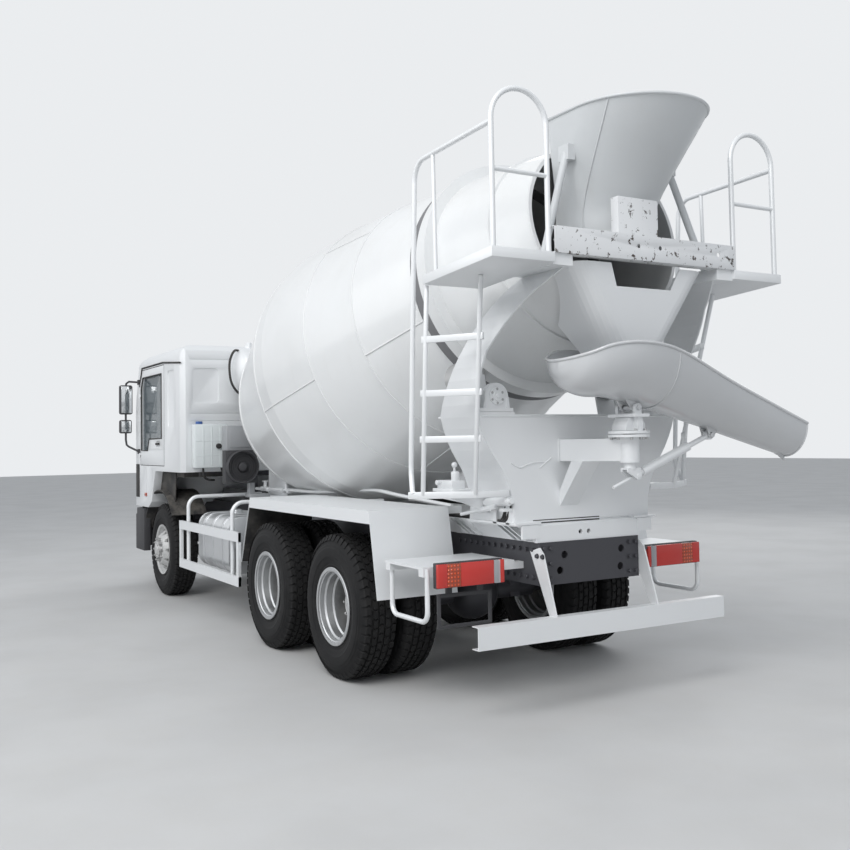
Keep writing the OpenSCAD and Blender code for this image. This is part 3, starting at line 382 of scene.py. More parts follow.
@dataclass(frozen=True)
class Woven:
    """Seat cloth: fine woven rows, a soft sheen and faint stains."""

    name: str
    colour: Point
    pitch: float = 190.0

    def build(self) -> bpy.types.Material:
        """Builds the cloth's material."""
        s = Shader(self.name)
        rows = [s.node("ShaderNodeTexWave", {"bands_direction": d}, {"Vector": s.place, "Scale": self.pitch / 6.28,
                        "Distortion": 1.2}) for d in ("X", "Y", "Z")]
        weave = rows[0] * 0.4 + rows[1] * 0.4 + rows[2] * 0.4
        stain = s.noise(5, 4, 0.6).step(0.4, 0.7)
        colour = s.mix(stain * 0.4, self.colour, tuple(c * 1.6 for c in self.colour))
        return s.finish({"Base Color": s.mix((weave * 0.35).clamp(), colour, tuple(c * 0.5 for c in self.colour)),
                         "Roughness": 0.85, "Sheen Weight": 0.3, "Normal": s.bump(weave, 0.4, 0.002)})


@dataclass(frozen=True)
class Rubber:
    """Tyre rubber: matt black, dusty low on the wall and in the grooves, fine mould lines round the axle."""

    name: str
    hub: Point
    colour: Point = (0.0055, 0.0056, 0.0065)

    def build(self) -> bpy.types.Material:
        """Builds the tyre's material, centred on its hub."""
        s = Shader(self.name)
        off = s.node("ShaderNodeVectorMath", {"operation": "SUBTRACT"}, {0: s.place, 1: self.hub})
        flat = s.node("ShaderNodeVectorMath", {"operation": "MULTIPLY"}, {0: off, 1: (1.0, 0.0, 1.0)})
        radius = s.node("ShaderNodeVectorMath", {"operation": "LENGTH"}, {0: flat}, "Value")
        film = s.noise(7, 6, 0.7).step(0.35, 0.72)
        fine = s.noise(70, 3, 0.6)
        tread = radius.step(0.505, 0.522)
        dust = film * 0.12 + fine * 0.06 + tread * 0.08
        colour = s.mix(dust.clamp(), self.colour, (0.075, 0.073, 0.070))
        lines = s.node("ShaderNodeMath", {"operation": "SINE"}, {0: radius * 1300})
        height = lines * 0.15 * (1 - tread) + fine * 0.5
        return s.finish({"Base Color": colour, "Roughness": (0.62 + dust * 0.5).clamp(), "Specular IOR Level": 0.22,
                         "Normal": s.bump(height, 0.4, 0.0015)})


class Finishes(Enum):
    """Every finish by the record's slot, and those that only the scene's own pieces wear."""

    WHITE = Paint("white_paint", (0.78, 0.79, 0.80), rough=0.24, dust=0.34, chips=0.12, coat=0.45)
    DRUM = Paint("drum_paint", (0.79, 0.80, 0.80), rough=0.27, dust=0.42, chips=0.06, coat=0.4)
    CHUTE = Paint("chute_paint", (0.60, 0.61, 0.62), rough=0.2, dust=0.22, chips=0.25, coat=0.6, orange_peel=0.12)
    BEAM = Paint("flaking_paint", (0.76, 0.77, 0.78), rough=0.42, dust=0.35, chips=1.0, coat=0.1,
                 rust_colour=(0.045, 0.035, 0.03), flake_from=0.575, flake_where=0.36)
    FRAME = Paint("frame_paint", (0.014, 0.015, 0.017), rough=0.42, dust=0.3, chips=0.25, coat=0.1)
    GREY = Paint("grey_paint", (0.25, 0.26, 0.27), rough=0.45, dust=0.4, chips=0.2, coat=0.05)
    HOPPER = Paint("hopper_paint", (0.66, 0.68, 0.69), rough=0.42, dust=0.5, chips=0.5, coat=0.05)
    RIM = Paint("rim_paint", (0.56, 0.565, 0.57), rough=0.36, dust=0.55, chips=0.1, metal=0.55, coat=0.1)
    # Near-black disc paint: painted shade for the shadow deep inside the twin rims.
    DISC = Paint("disc_painted_shade", (0.035, 0.036, 0.038), rough=0.5, dust=0.55, chips=0.3, coat=0.05)
    BARREL = Metal("rolled_barrel", (0.60, 0.61, 0.62), 0.30, rust=0.06, grain=90, relief=0.1)
    STEEL = Metal("bare_steel", (0.46, 0.46, 0.46), 0.3, rust=0.25)
    CAST = Metal("cast_metal", (0.16, 0.165, 0.17), 0.55, rust=0.35, grain=140, relief=0.5)
    ALUMINIUM = Metal("tank_aluminium", (0.66, 0.67, 0.68), 0.24, rust=0.02, grain=220, stretch=(0.02, 1.0, 1.0))
    PLASTIC = Moulded("black_plastic", (0.028, 0.028, 0.03), 0.5, 0.35)
    MILKY = Moulded("milky_plastic", (0.60, 0.66, 0.66), 0.3, 0.25, relief=0.05, alpha=0.82)
    CAP_BLUE = Moulded("blue_cap", (0.03, 0.10, 0.32), 0.35, 0.2)
    SEAL = Moulded("rubber_seal", (0.018, 0.018, 0.019), 0.7, 0.4)
    # Black liner plastic: the cab's wheel arch liners, and the painted shade sheets inside the twin wheels' fenders.
    LINER_AND_PAINTED_SHADE = Moulded("liner_and_painted_shade", (0.022, 0.022, 0.023), 0.75, 0.7)
    GLASS = Clear("tinted_glass", (0.02, 0.03, 0.035), 0.62, 0.04, 0.2)
    MIRROR = Metal("mirror_glass", (0.75, 0.77, 0.78), 0.03, rust=0.0, relief=0.0)
    LENS_RED = Clear("red_lens", (0.27, 0.006, 0.005), 1.0, 0.12, 0.06, ribs=13)
    LENS_AMBER = Clear("amber_lens", (0.34, 0.035, 0.004), 1.0, 0.12, 0.06, ribs=13)
    LENS_CLEAR = Clear("clear_lens", (0.40, 0.42, 0.44), 0.9, 0.08, 0.08, ribs=13)
    SEAT = Woven("seat_fabric", (0.07, 0.07, 0.085))
    FLOOR = Paint("floor_paint", (0.58, 0.58, 0.575), rough=0.7, dust=0.1, chips=0.0, coat=0.0, orange_peel=0.0)

    @property
    def material(self) -> bpy.types.Material:
        """The finish's material, built once."""
        return bpy.data.materials.get(self.value.name) or self.value.build()


class GeoTree(Tree):
    """A Geometry Nodes tree with named inputs."""

    def __init__(self, name: str, inputs: Sequence[tuple[str, str, Any]]) -> None:
        """Starts a tree.

        Args:
            name: Name of the tree.
            inputs: Name, socket type and default of each input after the geometry.
        """
        self.group = bpy.data.node_groups.new(name, "GeometryNodeTree")
        super().__init__(self.group)
        self.group.interface.new_socket("Geometry", in_out="OUTPUT", socket_type="NodeSocketGeometry")
        self.group.interface.new_socket("Geometry", in_out="INPUT", socket_type="NodeSocketGeometry")
        self.identifiers: dict[str, str] = {}
        for label, kind, default in inputs:
            item = self.group.interface.new_socket(label, in_out="INPUT", socket_type=kind)
            if default is not None:
                item.default_value = default
            self.identifiers[label] = item.identifier
        self.source = self.tree.nodes.new("NodeGroupInput")

    def given(self, name: str) -> Sock:
        """The named input."""
        return Sock(self, self.source.outputs[name])

    def close(self, geometry: Sock) -> "GeoTree":
        """Ends the tree in Realize Instances and Set Material."""
        solid = self.node("GeometryNodeRealizeInstances", {}, {"Geometry": geometry})
        dressed = self.node("GeometryNodeSetMaterial", {}, {"Geometry": solid, "Material": self.given("Material")})
        self.node("NodeGroupOutput", {}, {"Geometry": dressed})
        return self

    def run(self, source: Thing, name: str, values: dict[str, Any]) -> Thing:
        """Applies the tree to an object and returns the result as a plain mesh object.

        Args:
            source: Object that carries the tree's geometry; it is removed.
            name: Name of the piece that is made.
            values: Inputs by name.
        Returns:
            The new piece.
        """
        modifier = source.modifiers.new("tree", "NODES")
        modifier.node_group = self.group
        for key, value in values.items():
            modifier[self.identifiers[key]] = value
        bpy.context.view_layer.update()
        evaluated = source.evaluated_get(bpy.context.evaluated_depsgraph_get())
        mesh = bpy.data.meshes.new_from_object(evaluated)
        source.modifiers.clear()
        bpy.data.objects.remove(source)
        mesh.name = name
        return Shape.wrap(name, mesh)


class Shape:
    """Meshes built from profiles, paths and rings, each with its place in the mesh."""

    def __init__(self) -> None:
        """Starts empty."""
        self.bm = bmesh.new()

    @staticmethod
    def wrap(name: str, mesh: bpy.types.Mesh) -> Thing:
        """Puts a mesh in the scene as an object at the origin."""
        made = bpy.data.objects.new(name, mesh)
        bpy.context.scene.collection.objects.link(made)
        return made

    def piece(self, name: str, finish: Finishes | None = None, smooth: float | None = 35.0,
              bevel: float = 0.0) -> Thing:
        """Turns what was drawn into an object.

        Args:
            name: Name of the piece.
            finish: Its material.
            smooth: Angle in degrees under which faces shade smoothly, or None for flat faces.
            bevel: Width of the bevel on sharp edges.
        Returns:
            The object.
        """
        bmesh.ops.remove_doubles(self.bm, verts=self.bm.verts, dist=1e-6)
        bmesh.ops.recalc_face_normals(self.bm, faces=self.bm.faces)
        if bevel:
            edges = [e for e in self.bm.edges if len(e.link_faces) == 2 and e.calc_face_angle() > math.radians(32)]
            bmesh.ops.bevel(self.bm, geom=edges, offset=bevel, segments=2, profile=0.5, affect="EDGES",
                            clamp_overlap=True)
        for face in self.bm.faces:
            face.smooth = smooth is not None
        if smooth is not None:
            for edge in self.bm.edges:
                if len(edge.link_faces) == 2 and edge.calc_face_angle() > math.radians(smooth):
                    edge.smooth = False
        mesh = bpy.data.meshes.new(name)
        self.bm.to_mesh(mesh)
        self.bm.free()
        if finish:
            mesh.materials.append(finish.material)
        return self.wrap(name, mesh)

    def box(self, low: Point, high: Point) -> "Shape":
        """Box between two corners."""
        size = Vector(high) - Vector(low)
        made = bmesh.ops.create_cube(self.bm, size=1.0)["verts"]
        for v in made:
            v.co = Vector(low) + Vector(((v.co.x + 0.5) * size.x, (v.co.y + 0.5) * size.y, (v.co.z + 0.5) * size.z))
        return self

    def prism(self, outline: Sequence[Point], shift: Point) -> "Shape":
        """Plate with a flat outline, carried along shift."""
        foot = [self.bm.verts.new(p) for p in outline]
        head = [self.bm.verts.new(Vector(p) + Vector(shift)) for p in outline]
        self.bm.faces.new(foot)
        self.bm.faces.new(list(reversed(head)))
        for i in range(len(foot)):
            j = (i + 1) % len(foot)
            self.bm.faces.new((foot[j], foot[i], head[i], head[j]))
        return self

    def lathe(self, profile: Sequence[Spot], centre: Point, axis: Point, steps: int = 64,
              closed: bool = True) -> "Shape":
        """Turns a profile of (distance along the axis, radius) round an axis.

        Args:
            profile: Points of the profile.
            centre: Point on the axis at distance 0.
            axis: Direction of the axis.
            steps: Steps round the axis.
            closed: Whether the profile's end joins its start.
        Returns:
            The shape.
        """
        ahead = Vector(axis).normalized()
        out = (Vector(LEFT) if abs(ahead.y) < 0.9 else Vector(UP)).cross(ahead).normalized()
        side = ahead.cross(out)
        rings = []
        for along, radius in profile:
            if radius < 1e-6:
                rings.append([self.bm.verts.new(Vector(centre) + ahead * along)])
                continue
            rings.append([self.bm.verts.new(Vector(centre) + ahead * along
                                            + radius * (out * math.cos(math.tau * k / steps)
                                                        + side * math.sin(math.tau * k / steps)))
                          for k in range(steps)])
        pairs = list(zip(rings, rings[1:])) + ([(rings[-1], rings[0])] if closed else [])
        for a, b in pairs:
            for k in range(steps):
                loop = [a[k % len(a)], a[(k + 1) % len(a)], b[(k + 1) % len(b)], b[k % len(b)]]
                loop = list(dict.fromkeys(loop))
                if len(loop) > 2:
                    self.bm.faces.new(loop)
        return self

    def tube(self, path: Sequence[Point], radius: float, sides: int = 12, caps: bool = True) -> "Shape":
        """Round bar along a path."""
        points = [Vector(p) for p in path]
        rings: list[list[Any]] = []
        normal = None
        for i, p in enumerate(points):
            ahead = (points[min(i + 1, len(points) - 1)] - points[max(i - 1, 0)]).normalized()
            if normal is None:
                normal = ahead.orthogonal().normalized()
            normal = (normal - ahead * normal.dot(ahead)).normalized()
            side = ahead.cross(normal)
            rings.append([self.bm.verts.new(p + radius * (normal * math.cos(math.tau * k / sides)
                                                          + side * math.sin(math.tau * k / sides)))
                          for k in range(sides)])
        for a, b in zip(rings, rings[1:]):
            for k in range(sides):
                self.bm.faces.new((a[k], a[(k + 1) % sides], b[(k + 1) % sides], b[k]))
        if caps:
            self.bm.faces.new(list(reversed(rings[0])))
            self.bm.faces.new(rings[-1])
        return self


def span(s: int, a: float, b: float) -> list[float]:
    """The ends of a stretch across the truck, lower first; s is 1 on the left and -1 on the right."""
    return sorted((s * a, s * b))


def on_side(s: int, low: Point, high: Point) -> tuple[Point, Point]:
    """The corners of a left-side box, carried over to the right side where s is -1."""
    a, b = span(s, low[1], high[1])
    return (low[0], a, low[2]), (high[0], b, high[2])


def lathed(*rows: Spot) -> list[Spot]:
    """A profile for lathe whose two ends are closed down to the axis."""
    return [(rows[0][0], 0), *rows, (rows[-1][0], 0)]


def rod(start: float, end: float, radius: float) -> list[Spot]:
    """A profile for lathe: a plain round bar from start to end along the axis."""
    return lathed((start, radius), (end, radius))


def smooth_path(points: Sequence[Point], steps: int = 8) -> list[Point]:
    """Curve through the points.

    Args:
        points: Points that the curve passes.
        steps: Steps between two points.
    Returns:
        Points along the curve.
    """
    p = [Vector(tuple(q)) for q in points]
    p = [2 * p[0] - p[1]] + p + [2 * p[-1] - p[-2]]
    out: list[Point] = []
    for i in range(1, len(p) - 2):
        for k in range(steps):
            t = k / steps
            out.append(tuple(0.5 * (2 * p[i] + (p[i + 1] - p[i - 1]) * t
                                    + (2 * p[i - 1] - 5 * p[i] + 4 * p[i + 1] - p[i + 2]) * t * t
                                    + (3 * p[i] - 3 * p[i + 1] + p[i + 2] - p[i - 1]) * t ** 3)))
    return out + [tuple(p[-2])]


class Repeats:
    """The Geometry Nodes trees: pieces round an axis or at marked points, and beads along paths."""

    def __init__(self) -> None:
        """Builds the trees."""
        self.ring = self._ring()
        self.marks = self._marks()
        self.bead = self._bead()

    @staticmethod
    def _ring() -> GeoTree:
        """Tree that repeats a piece round the Y axis through the origin."""
        t = GeoTree("repeat_round_axle", [("Count", "NodeSocketInt", 10), ("Turn", "NodeSocketFloat", 0.0),
                                          ("Material", "NodeSocketMaterial", None)])
        line = t.node("GeometryNodeMeshLine", {}, {"Count": t.given("Count"), "Offset": (0.0, 0.0, 0.0)})
        spread = t.node("GeometryNodeInstanceOnPoints", {}, {"Points": line, "Instance": t.given("Geometry")})
        angle = t.node("GeometryNodeInputIndex") * math.tau / t.given("Count") + t.given("Turn")
        turn = t.node("FunctionNodeAxisAngleToRotation", {}, {"Axis": (0.0, 1.0, 0.0), "Angle": angle})
        turned = t.node("GeometryNodeRotateInstances", {}, {"Instances": spread, "Rotation": turn})
        return t.close(turned)

    @staticmethod
    def _marks() -> GeoTree:
        """Tree that stands a piece on every point of a mesh, along the point's "aim" attribute."""
        t = GeoTree("stand_on_marks", [("Piece", "NodeSocketObject", None), ("Size", "NodeSocketFloat", 1.0),
                                       ("Seed", "NodeSocketInt", 3), ("Material", "NodeSocketMaterial", None)])
        aim = t.node("GeometryNodeInputNamedAttribute", {"data_type": "FLOAT_VECTOR"}, {"Name": "aim"})
        stand = t.node("FunctionNodeAlignRotationToVector", {"axis": "Z"}, {"Vector": aim})
        turn = t.node("FunctionNodeRandomValue", {"data_type": "FLOAT"}, {2: 0.0, 3: 6.28, "Seed": t.given("Seed")},
                      1)
        spin = t.node("FunctionNodeAxisAngleToRotation", {}, {"Axis": (0.0, 0.0, 1.0), "Angle": turn})
        both = t.node("FunctionNodeRotateRotation", {"rotation_space": "LOCAL"},
                      {"Rotation": stand, "Rotate By": spin})
        piece = t.node("GeometryNodeObjectInfo", {"transform_space": "ORIGINAL"}, {"Object": t.given("Piece")},
                       "Geometry")
        points = t.node("GeometryNodeMeshToPoints", {}, {"Mesh": t.given("Geometry")})
        return t.close(t.node("GeometryNodeInstanceOnPoints", {}, {"Points": points, "Instance": piece,
                               "Rotation": both, "Scale": t.given("Size")}))

    @staticmethod
    def _bead() -> GeoTree:
        """Tree that lays a rippled weld bead along the edges of a mesh."""
        t = GeoTree("weld_bead", [("Radius", "NodeSocketFloat", 0.006), ("Step", "NodeSocketFloat", 0.02),
                                  ("Ripple", "NodeSocketFloat", 0.25), ("Seed", "NodeSocketFloat", 4.0),
                                  ("Material", "NodeSocketMaterial", None)])
        curve = t.node("GeometryNodeMeshToCurve", {}, {"Mesh": t.given("Geometry")})
        even = t.node("GeometryNodeResampleCurve", {"mode": "LENGTH"}, {"Curve": curve, "Length": t.given("Step")})
        noise = t.node("ShaderNodeTexNoise", {"noise_dimensions": "4D"}, {"Scale": 30.0, "W": t.given("Seed")})
        sized = t.node("GeometryNodeSetCurveRadius", {}, {"Curve": even,
                                                          "Radius": (noise - 0.5) * t.given("Ripple") * 2 + 1})
        profile = t.node("GeometryNodeCurvePrimitiveCircle", {}, {"Resolution": 6, "Radius": t.given("Radius")})
        return t.close(t.node("GeometryNodeCurveToMesh", {}, {"Curve": sized, "Profile Curve": profile,
                               "Fill Caps": True}))

    def mark_points(self, name: str, marks: Sequence[tuple[Point, Point]], prototype: Thing, finish: Finishes,
                    size: float = 1.0) -> Thing:
        """Stands copies of a piece on places.

        Args:
            name: Name of the result.
            marks: Place and direction of each copy.
            prototype: Piece that is copied, with its foot at the origin and its head along Z.
            finish: Material.
            size: Scale of each copy.
        Returns:
            The copies as one piece.
        """
        mesh = bpy.data.meshes.new(name + "_marks")
        mesh.from_pydata([m[0] for m in marks], [], [])
        aim = mesh.attributes.new("aim", "FLOAT_VECTOR", "POINT")
        aim.data.foreach_set("vector", [c for m in marks for c in m[1]])
        return self.marks.run(
            Shape.wrap(name + "_marks", mesh), name, {"Piece": prototype, "Size": size, "Material": finish.material})

    def weld(self, name: str, paths: Sequence[Sequence[Point]], radius: float, finish: Finishes, step: float = 0.02,
             ripple: float = 0.25) -> Thing:
        """Lays weld beads along paths.

        Args:
            name: Name of the piece.
            paths: Points of each bead.
            radius: Radius of a bead.
            finish: Material.
            step: Distance between two ripples.
            ripple: Depth of the ripples, as a share of the radius.
        Returns:
            The beads as one piece.
        """
        points: list[Point] = []
        edges: list[tuple[int, int]] = []
        for path in paths:
            start = len(points)
            points.extend(path)
            edges.extend((start + i, start + i + 1) for i in range(len(path) - 1))
        mesh = bpy.data.meshes.new(name + "_paths")
        mesh.from_pydata(points, edges, [])
        made = self.bead.run(
            Shape.wrap(name + "_paths", mesh), name, {"Radius": radius, "Step": step, "Ripple": ripple,
                "Material": finish.material})
        for face in made.data.polygons:
            face.use_smooth = True
        return made


def ride(piece: Thing, body: Body | str, stands_for: Sequence[str] = ()) -> Thing:
    """Ties a finished piece to its body and the record's slot.

    Args:
        piece: The piece, in place.
        body: Body that carries it.
        stands_for: Nodes that it replaces.
    Returns:
        The piece.
    """
    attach(piece, body.value if isinstance(body, Body) else body)
    if stands_for:
        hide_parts(*stands_for)
    log.info("%s: %d faces on %s", piece.name, len(piece.data.polygons) if piece.type == "MESH" else 0, body)
    return piece


@dataclass
class Drum:
    """The mixing drum: its axis and what is welded to its shell."""

    tilt_deg: float = 12.46
    origin: Point = (-2.676, 0.0, 2.926)
    outline: tuple[Spot, ...] = (
        (-3.998, 0.2446), (-3.9635, 0.4363), (-3.9081, 0.6076), (-3.8345, 0.7495), (-3.7465, 0.8553), (-3.66, 0.945),
        (-2.4, 1.235), (-2.186, 1.245), (-1.448, 1.150), (-0.784, 1.030), (0.0, 0.844))
    seams: tuple[float, ...] = (-3.62, -2.4, -1.448, -0.784)

    def at(self, along: float, radius: float, turn: float) -> Point:
        """Point in the drum's frame.

        Args:
            along: Distance up the axis from the rolling ring.
            radius: Distance from the axis.
            turn: Angle round the axis, 0 away from the ground.
        Returns:
            The point in the row's frame.
        """
        t = math.radians(self.tilt_deg)
        c, s = radius * math.cos(turn), radius * math.sin(turn)
        return (self.origin[0] - along * math.cos(t) + c * math.sin(t), self.origin[1] + s,
                self.origin[2] + along * math.sin(t) + c * math.cos(t))

    @property
    def axis(self) -> Point:
        """Direction up the drum's axis."""
        t = math.radians(self.tilt_deg)
        return (-math.cos(t), 0.0, math.sin(t))

    def radius(self, along: float) -> float:
        """Outer radius at a distance along the axis."""
        for (a, ra), (b, rb) in zip(self.outline, self.outline[1:]):
            if a <= along <= b:
                return ra + (rb - ra) * (along - a) / (b - a)
        return self.outline[-1][1]

    def build(self, repeats: Repeats) -> None:
        """Lays the ring seams and the lengthwise seams of the shell's plates, and a thin dark band that paints the
        shadow of the rolling ring's lip on the shell.
        """
        rings = [[self.at(s, self.radius(s) + 0.0015, math.tau * k / 120) for k in range(121)] for s in self.seams]
        plates = []
        for i, (a, b) in enumerate(zip(self.seams, self.seams[1:] + (-0.02,))):
            for k in range(3):
                turn = math.tau * (k / 3 + 0.17 * i + 0.13)
                plates.append([self.at(a + (b - a) * j / 12, self.radius(a + (b - a) * j / 12) + 0.001, turn)
                               for j in range(13)])
        ride(repeats.weld("drum_weld_seams", rings + plates, 0.0065, Finishes.DRUM), Body.DRUM)
        # Thin dark band on the shell beside the rolling ring: painted shadow of the ring's lip and the gap under it.
        band = Shape().lathe(
            [(-0.100, 0.83), (-0.100, 0.889), (0.001, 0.890), (0.001, 0.83)], self.origin, self.axis, 120)
        ride(band.piece("ring_grease_band", Finishes.CAST, 35), Body.DRUM)


@dataclass
class Tyre:
    """A tyre with its tread blocks, standing for one node."""

    radius: float = 0.535
    half: float = 0.150
    pitches: int = 50
    steps: int = 84

    def wall(self) -> list[Spot]:
        """One side of the outline, from the bead to the crown, as (distance along the axle, radius)."""
        return [(0.110, 0.272), (0.120, 0.284), (0.1305, 0.297), (0.1325, 0.306), (0.131, 0.314), (0.1345, 0.320),
                (0.141, 0.345), (0.1455, 0.366), (0.1475, 0.368), (0.1495, 0.392), (0.150, 0.410), (0.1485, 0.430),
                (0.1465, 0.432), (0.143, 0.452), (0.1405, 0.454), (0.134, 0.482), (0.127, 0.500), (0.117, 0.514),
                (0.098, 0.5205), (0.05, 0.522)]

    def carcass(self, shape: Shape, centre: Point) -> None:
        """Turns the wall round the axle."""
        wall = self.wall()
        shape.lathe(wall + [(-a, r) for a, r in reversed(wall)], centre, LEFT, self.steps)

    def blocks(self) -> Thing:
        """The blocks of one pitch of the tread, at the top of the wheel."""
        shape = Shape()
        pitch = math.tau * self.radius / self.pitches
        rows = ((-0.1, 0.033, 0.0, 0.72, 0.009), (-0.0485, 0.034, 0.5, 0.8, -0.01), (0.0, 0.036, 0.0, 0.8, 0.01),
                (0.0485, 0.034, 0.5, 0.8, -0.01), (0.1, 0.033, 0.0, 0.72, 0.009))
        for y, width, phase, share, skew in rows:
            outer = abs(y) > 0.09
            half = pitch * share / 2
            x0 = phase * pitch
            sign = 1 if y > 0 else -1
            top = self.radius - 0.0008
            lo, hi = (y - width / 2, y + width / 2)
            plan = [(x0 - half - skew, lo), (x0 - half + skew * 0.2, (lo + hi) / 2), (x0 - half - skew, hi),
                    (x0 + half - skew, hi), (x0 + half + skew * 0.2, (lo + hi) / 2), (x0 + half - skew, lo)]
            foot, head = [], []
            for x, w in plan:
                edge = outer and (w - y) * sign > 0
                drop = 0.006 if edge else 0.0
                foot.append(shape.bm.verts.new((x * 1.03, w + (0.024 * sign if edge else 0),
                                                0.486 if edge else 0.516)))
                head.append(shape.bm.verts.new((x * 0.97, w, math.sqrt((top - drop) ** 2 - x * x))))
            shape.bm.faces.new(head)
            for i in range(6):
                j = (i + 1) % 6
                shape.bm.faces.new((foot[i], foot[j], head[j], head[i]))
            shape.bm.faces.new(list(reversed(foot)))
        return shape.piece("tread_pitch", smooth=None)

    def build(self, repeats: Repeats, node: str, body: str, middles: Sequence[Point]) -> None:
        """Builds the tyres of one wheel body.

        Args:
            repeats: The Geometry Nodes trees.
            node: Node that the piece stands for.
            body: Body that it rides on.
            middles: Middle of each tyre.
        """
        rubber = Rubber("rubber_" + body, middles[0])
        material = bpy.data.materials.get(rubber.name) or rubber.build()
        shape = Shape()
        for middle in middles:
            self.carcass(shape, middle)
        wall = shape.piece(node + "_dressed", smooth=40)
        wall.data.materials.append(material)
        ring = repeats.ring.run(self.blocks(), "ring", {"Count": self.pitches, "Material": material})
        parts = [wall]
        for i, middle in enumerate(middles):
            copy = Shape.wrap(f"ring_{i}", ring.data.copy())
            copy.data.transform(Matrix.Translation(middle) @ Matrix.Rotation(0.06 * i, 4, "Y"))
            parts.append(copy)
        bpy.data.objects.remove(ring)
        ride(join(parts, node + "_dressed"), body, (node,))


def join(parts: Sequence[Thing], name: str) -> Thing:
    """Joins pieces into the first of them.

    Args:
        parts: Pieces at the origin.
        name: Name of the result.
    Returns:
        The joined piece.
    """
    bm = bmesh.new()
    slots: list[bpy.types.Material] = []
    for part in parts:
        start = len(bm.faces)
        bm.from_mesh(part.data)
        bm.faces.ensure_lookup_table()
        own = list(part.data.materials)
        for material in own:
            if material not in slots:
                slots.append(material)
        for face in bm.faces[start:]:
            if own:
                face.material_index = slots.index(own[min(face.material_index, len(own) - 1)])
    mesh = bpy.data.meshes.new(name)
    for material in slots:
        mesh.materials.append(material)
    bm.to_mesh(mesh)
    bm.free()
    for part in parts:
        bpy.data.objects.remove(part)
    return Shape.wrap(name, mesh)


def hex_bolt(across: float = 0.019, height: float = 0.011, washer: bool = True) -> Thing:
    """A hexagon bolt head with its washer, standing on the origin.

    Args:
        across: Width over the flats.
        height: Height of the head.
        washer: Whether a washer lies under it.
    Returns:
        The bolt.
    """
    shape = Shape()
    foot = 0.0025 if washer else 0.0
    if washer:
        shape.lathe(rod(0, foot, across * 0.72), (0, 0, 0), UP, 12, False)
    r = across / 2 / math.cos(math.pi / 6)
    shape.lathe(lathed((foot - 0.0005, r), (foot + height * 0.85, r), (foot + height, r * 0.86)), (0, 0, 0), UP, 6,
                False)
    return shape.piece("bolt_pattern", smooth=None)


@dataclass
class Wheels:
    """All wheels: tyres, wheel nuts, hub bolts and caps."""

    front_x: float = 3.05
    mid_x: float = -0.55
    rear_x: float = -1.9
    axle_z: float = 0.535
    front_y: float = 1.01
    twin_y: float = 0.915
    twin_gap: float = 0.34

    def build(self, repeats: Repeats) -> None:
        """Builds every wheel's pieces."""
        tyre = Tyre()
        for side, s in SIDES:
            front = (self.front_x, s * self.front_y, self.axle_z)
            tyre.build(repeats, f"tyre_front_{side}", f"wheel_front_{side}", [front])
            self.fittings(repeats, f"wheel_front_{side}", front, s, 0.172, 0.125, 0.205, 0.095)
            for place, x in (("mid", self.mid_x), ("rear", self.rear_x)):
                middles = [(x, s * (self.twin_y + d * self.twin_gap / 2), self.axle_z) for d in (1, -1)]
                tyre.build(repeats, f"tyres_{place}_{side}", f"wheels_{place}_{side}", middles)
                self.fittings(repeats, f"wheels_{place}_{side}", (x, s * self.twin_y, self.axle_z), s, 0.112, 0.140,
                              0.152, 0.110)

    @staticmethod
    def fittings(repeats: Repeats, body: str, middle: Point, s: int, face: float, circle: float, hub: float,
                 hub_r: float) -> None:
        """Puts the nuts, studs and the hub's cover on one wheel.

        Args:
            repeats: The Geometry Nodes trees.
            body: Body that the pieces ride on.
            middle: Middle of the wheel.
            s: 1 on the left, -1 on the right.
            face: Distance of the rim's flat face, outward from the middle.
            circle: Radius of the nuts' circle.
            hub: Distance of the hub's end.
            hub_r: Radius of the hub.
        """
        shape = Shape()
        shape.lathe(rod(face - 0.001, face + 0.004, 0.021), (0, 0, circle), LEFT, 16, False)
        shape.lathe(lathed((face, 0.0185), (face + 0.022, 0.0185), (face + 0.025, 0.016)), (0, 0, circle), LEFT, 6,
                    False)
        shape.lathe(lathed((face, 0.010), (face + 0.038, 0.010), (face + 0.040, 0.008)), (0, 0, circle), LEFT, 10,
                    False)
        nut = shape.piece("nut_pattern", smooth=None)
        nuts = repeats.ring.run(nut, "nuts", {"Count": 10, "Turn": 0.31, "Material": Finishes.STEEL.material})
        bolt = Shape()
        bolt.lathe(lathed((hub - 0.001, 0.0095), (hub + 0.008, 0.0095), (hub + 0.009, 0.008)), (0, 0, hub_r - 0.02),
                   LEFT, 6, False)
        caps = repeats.ring.run(
            bolt.piece("cap_bolt_pattern", smooth=None), "cap_bolts",
            {"Count": 8, "Turn": 0.1, "Material": Finishes.STEEL.material})
        cover = Shape()
        cover.lathe(lathed((hub - 0.004, hub_r + 0.002), (hub + 0.001, hub_r + 0.001), (hub + 0.003, hub_r - 0.004),
                           (hub + 0.003, hub_r - 0.034), (hub + 0.012, hub_r - 0.042), (hub + 0.016, hub_r - 0.06)),
                    (0, 0, 0), LEFT, 40, False)
        disc = cover.piece("hub_cover", Finishes.RIM)
        made = join([nuts, caps, disc], body + "_nuts")
        made.data.transform(Matrix.Translation(middle) @ Matrix.Scale(s, 4, LEFT))
        if s < 0:
            made.data.flip_normals()
        ride(made, body)


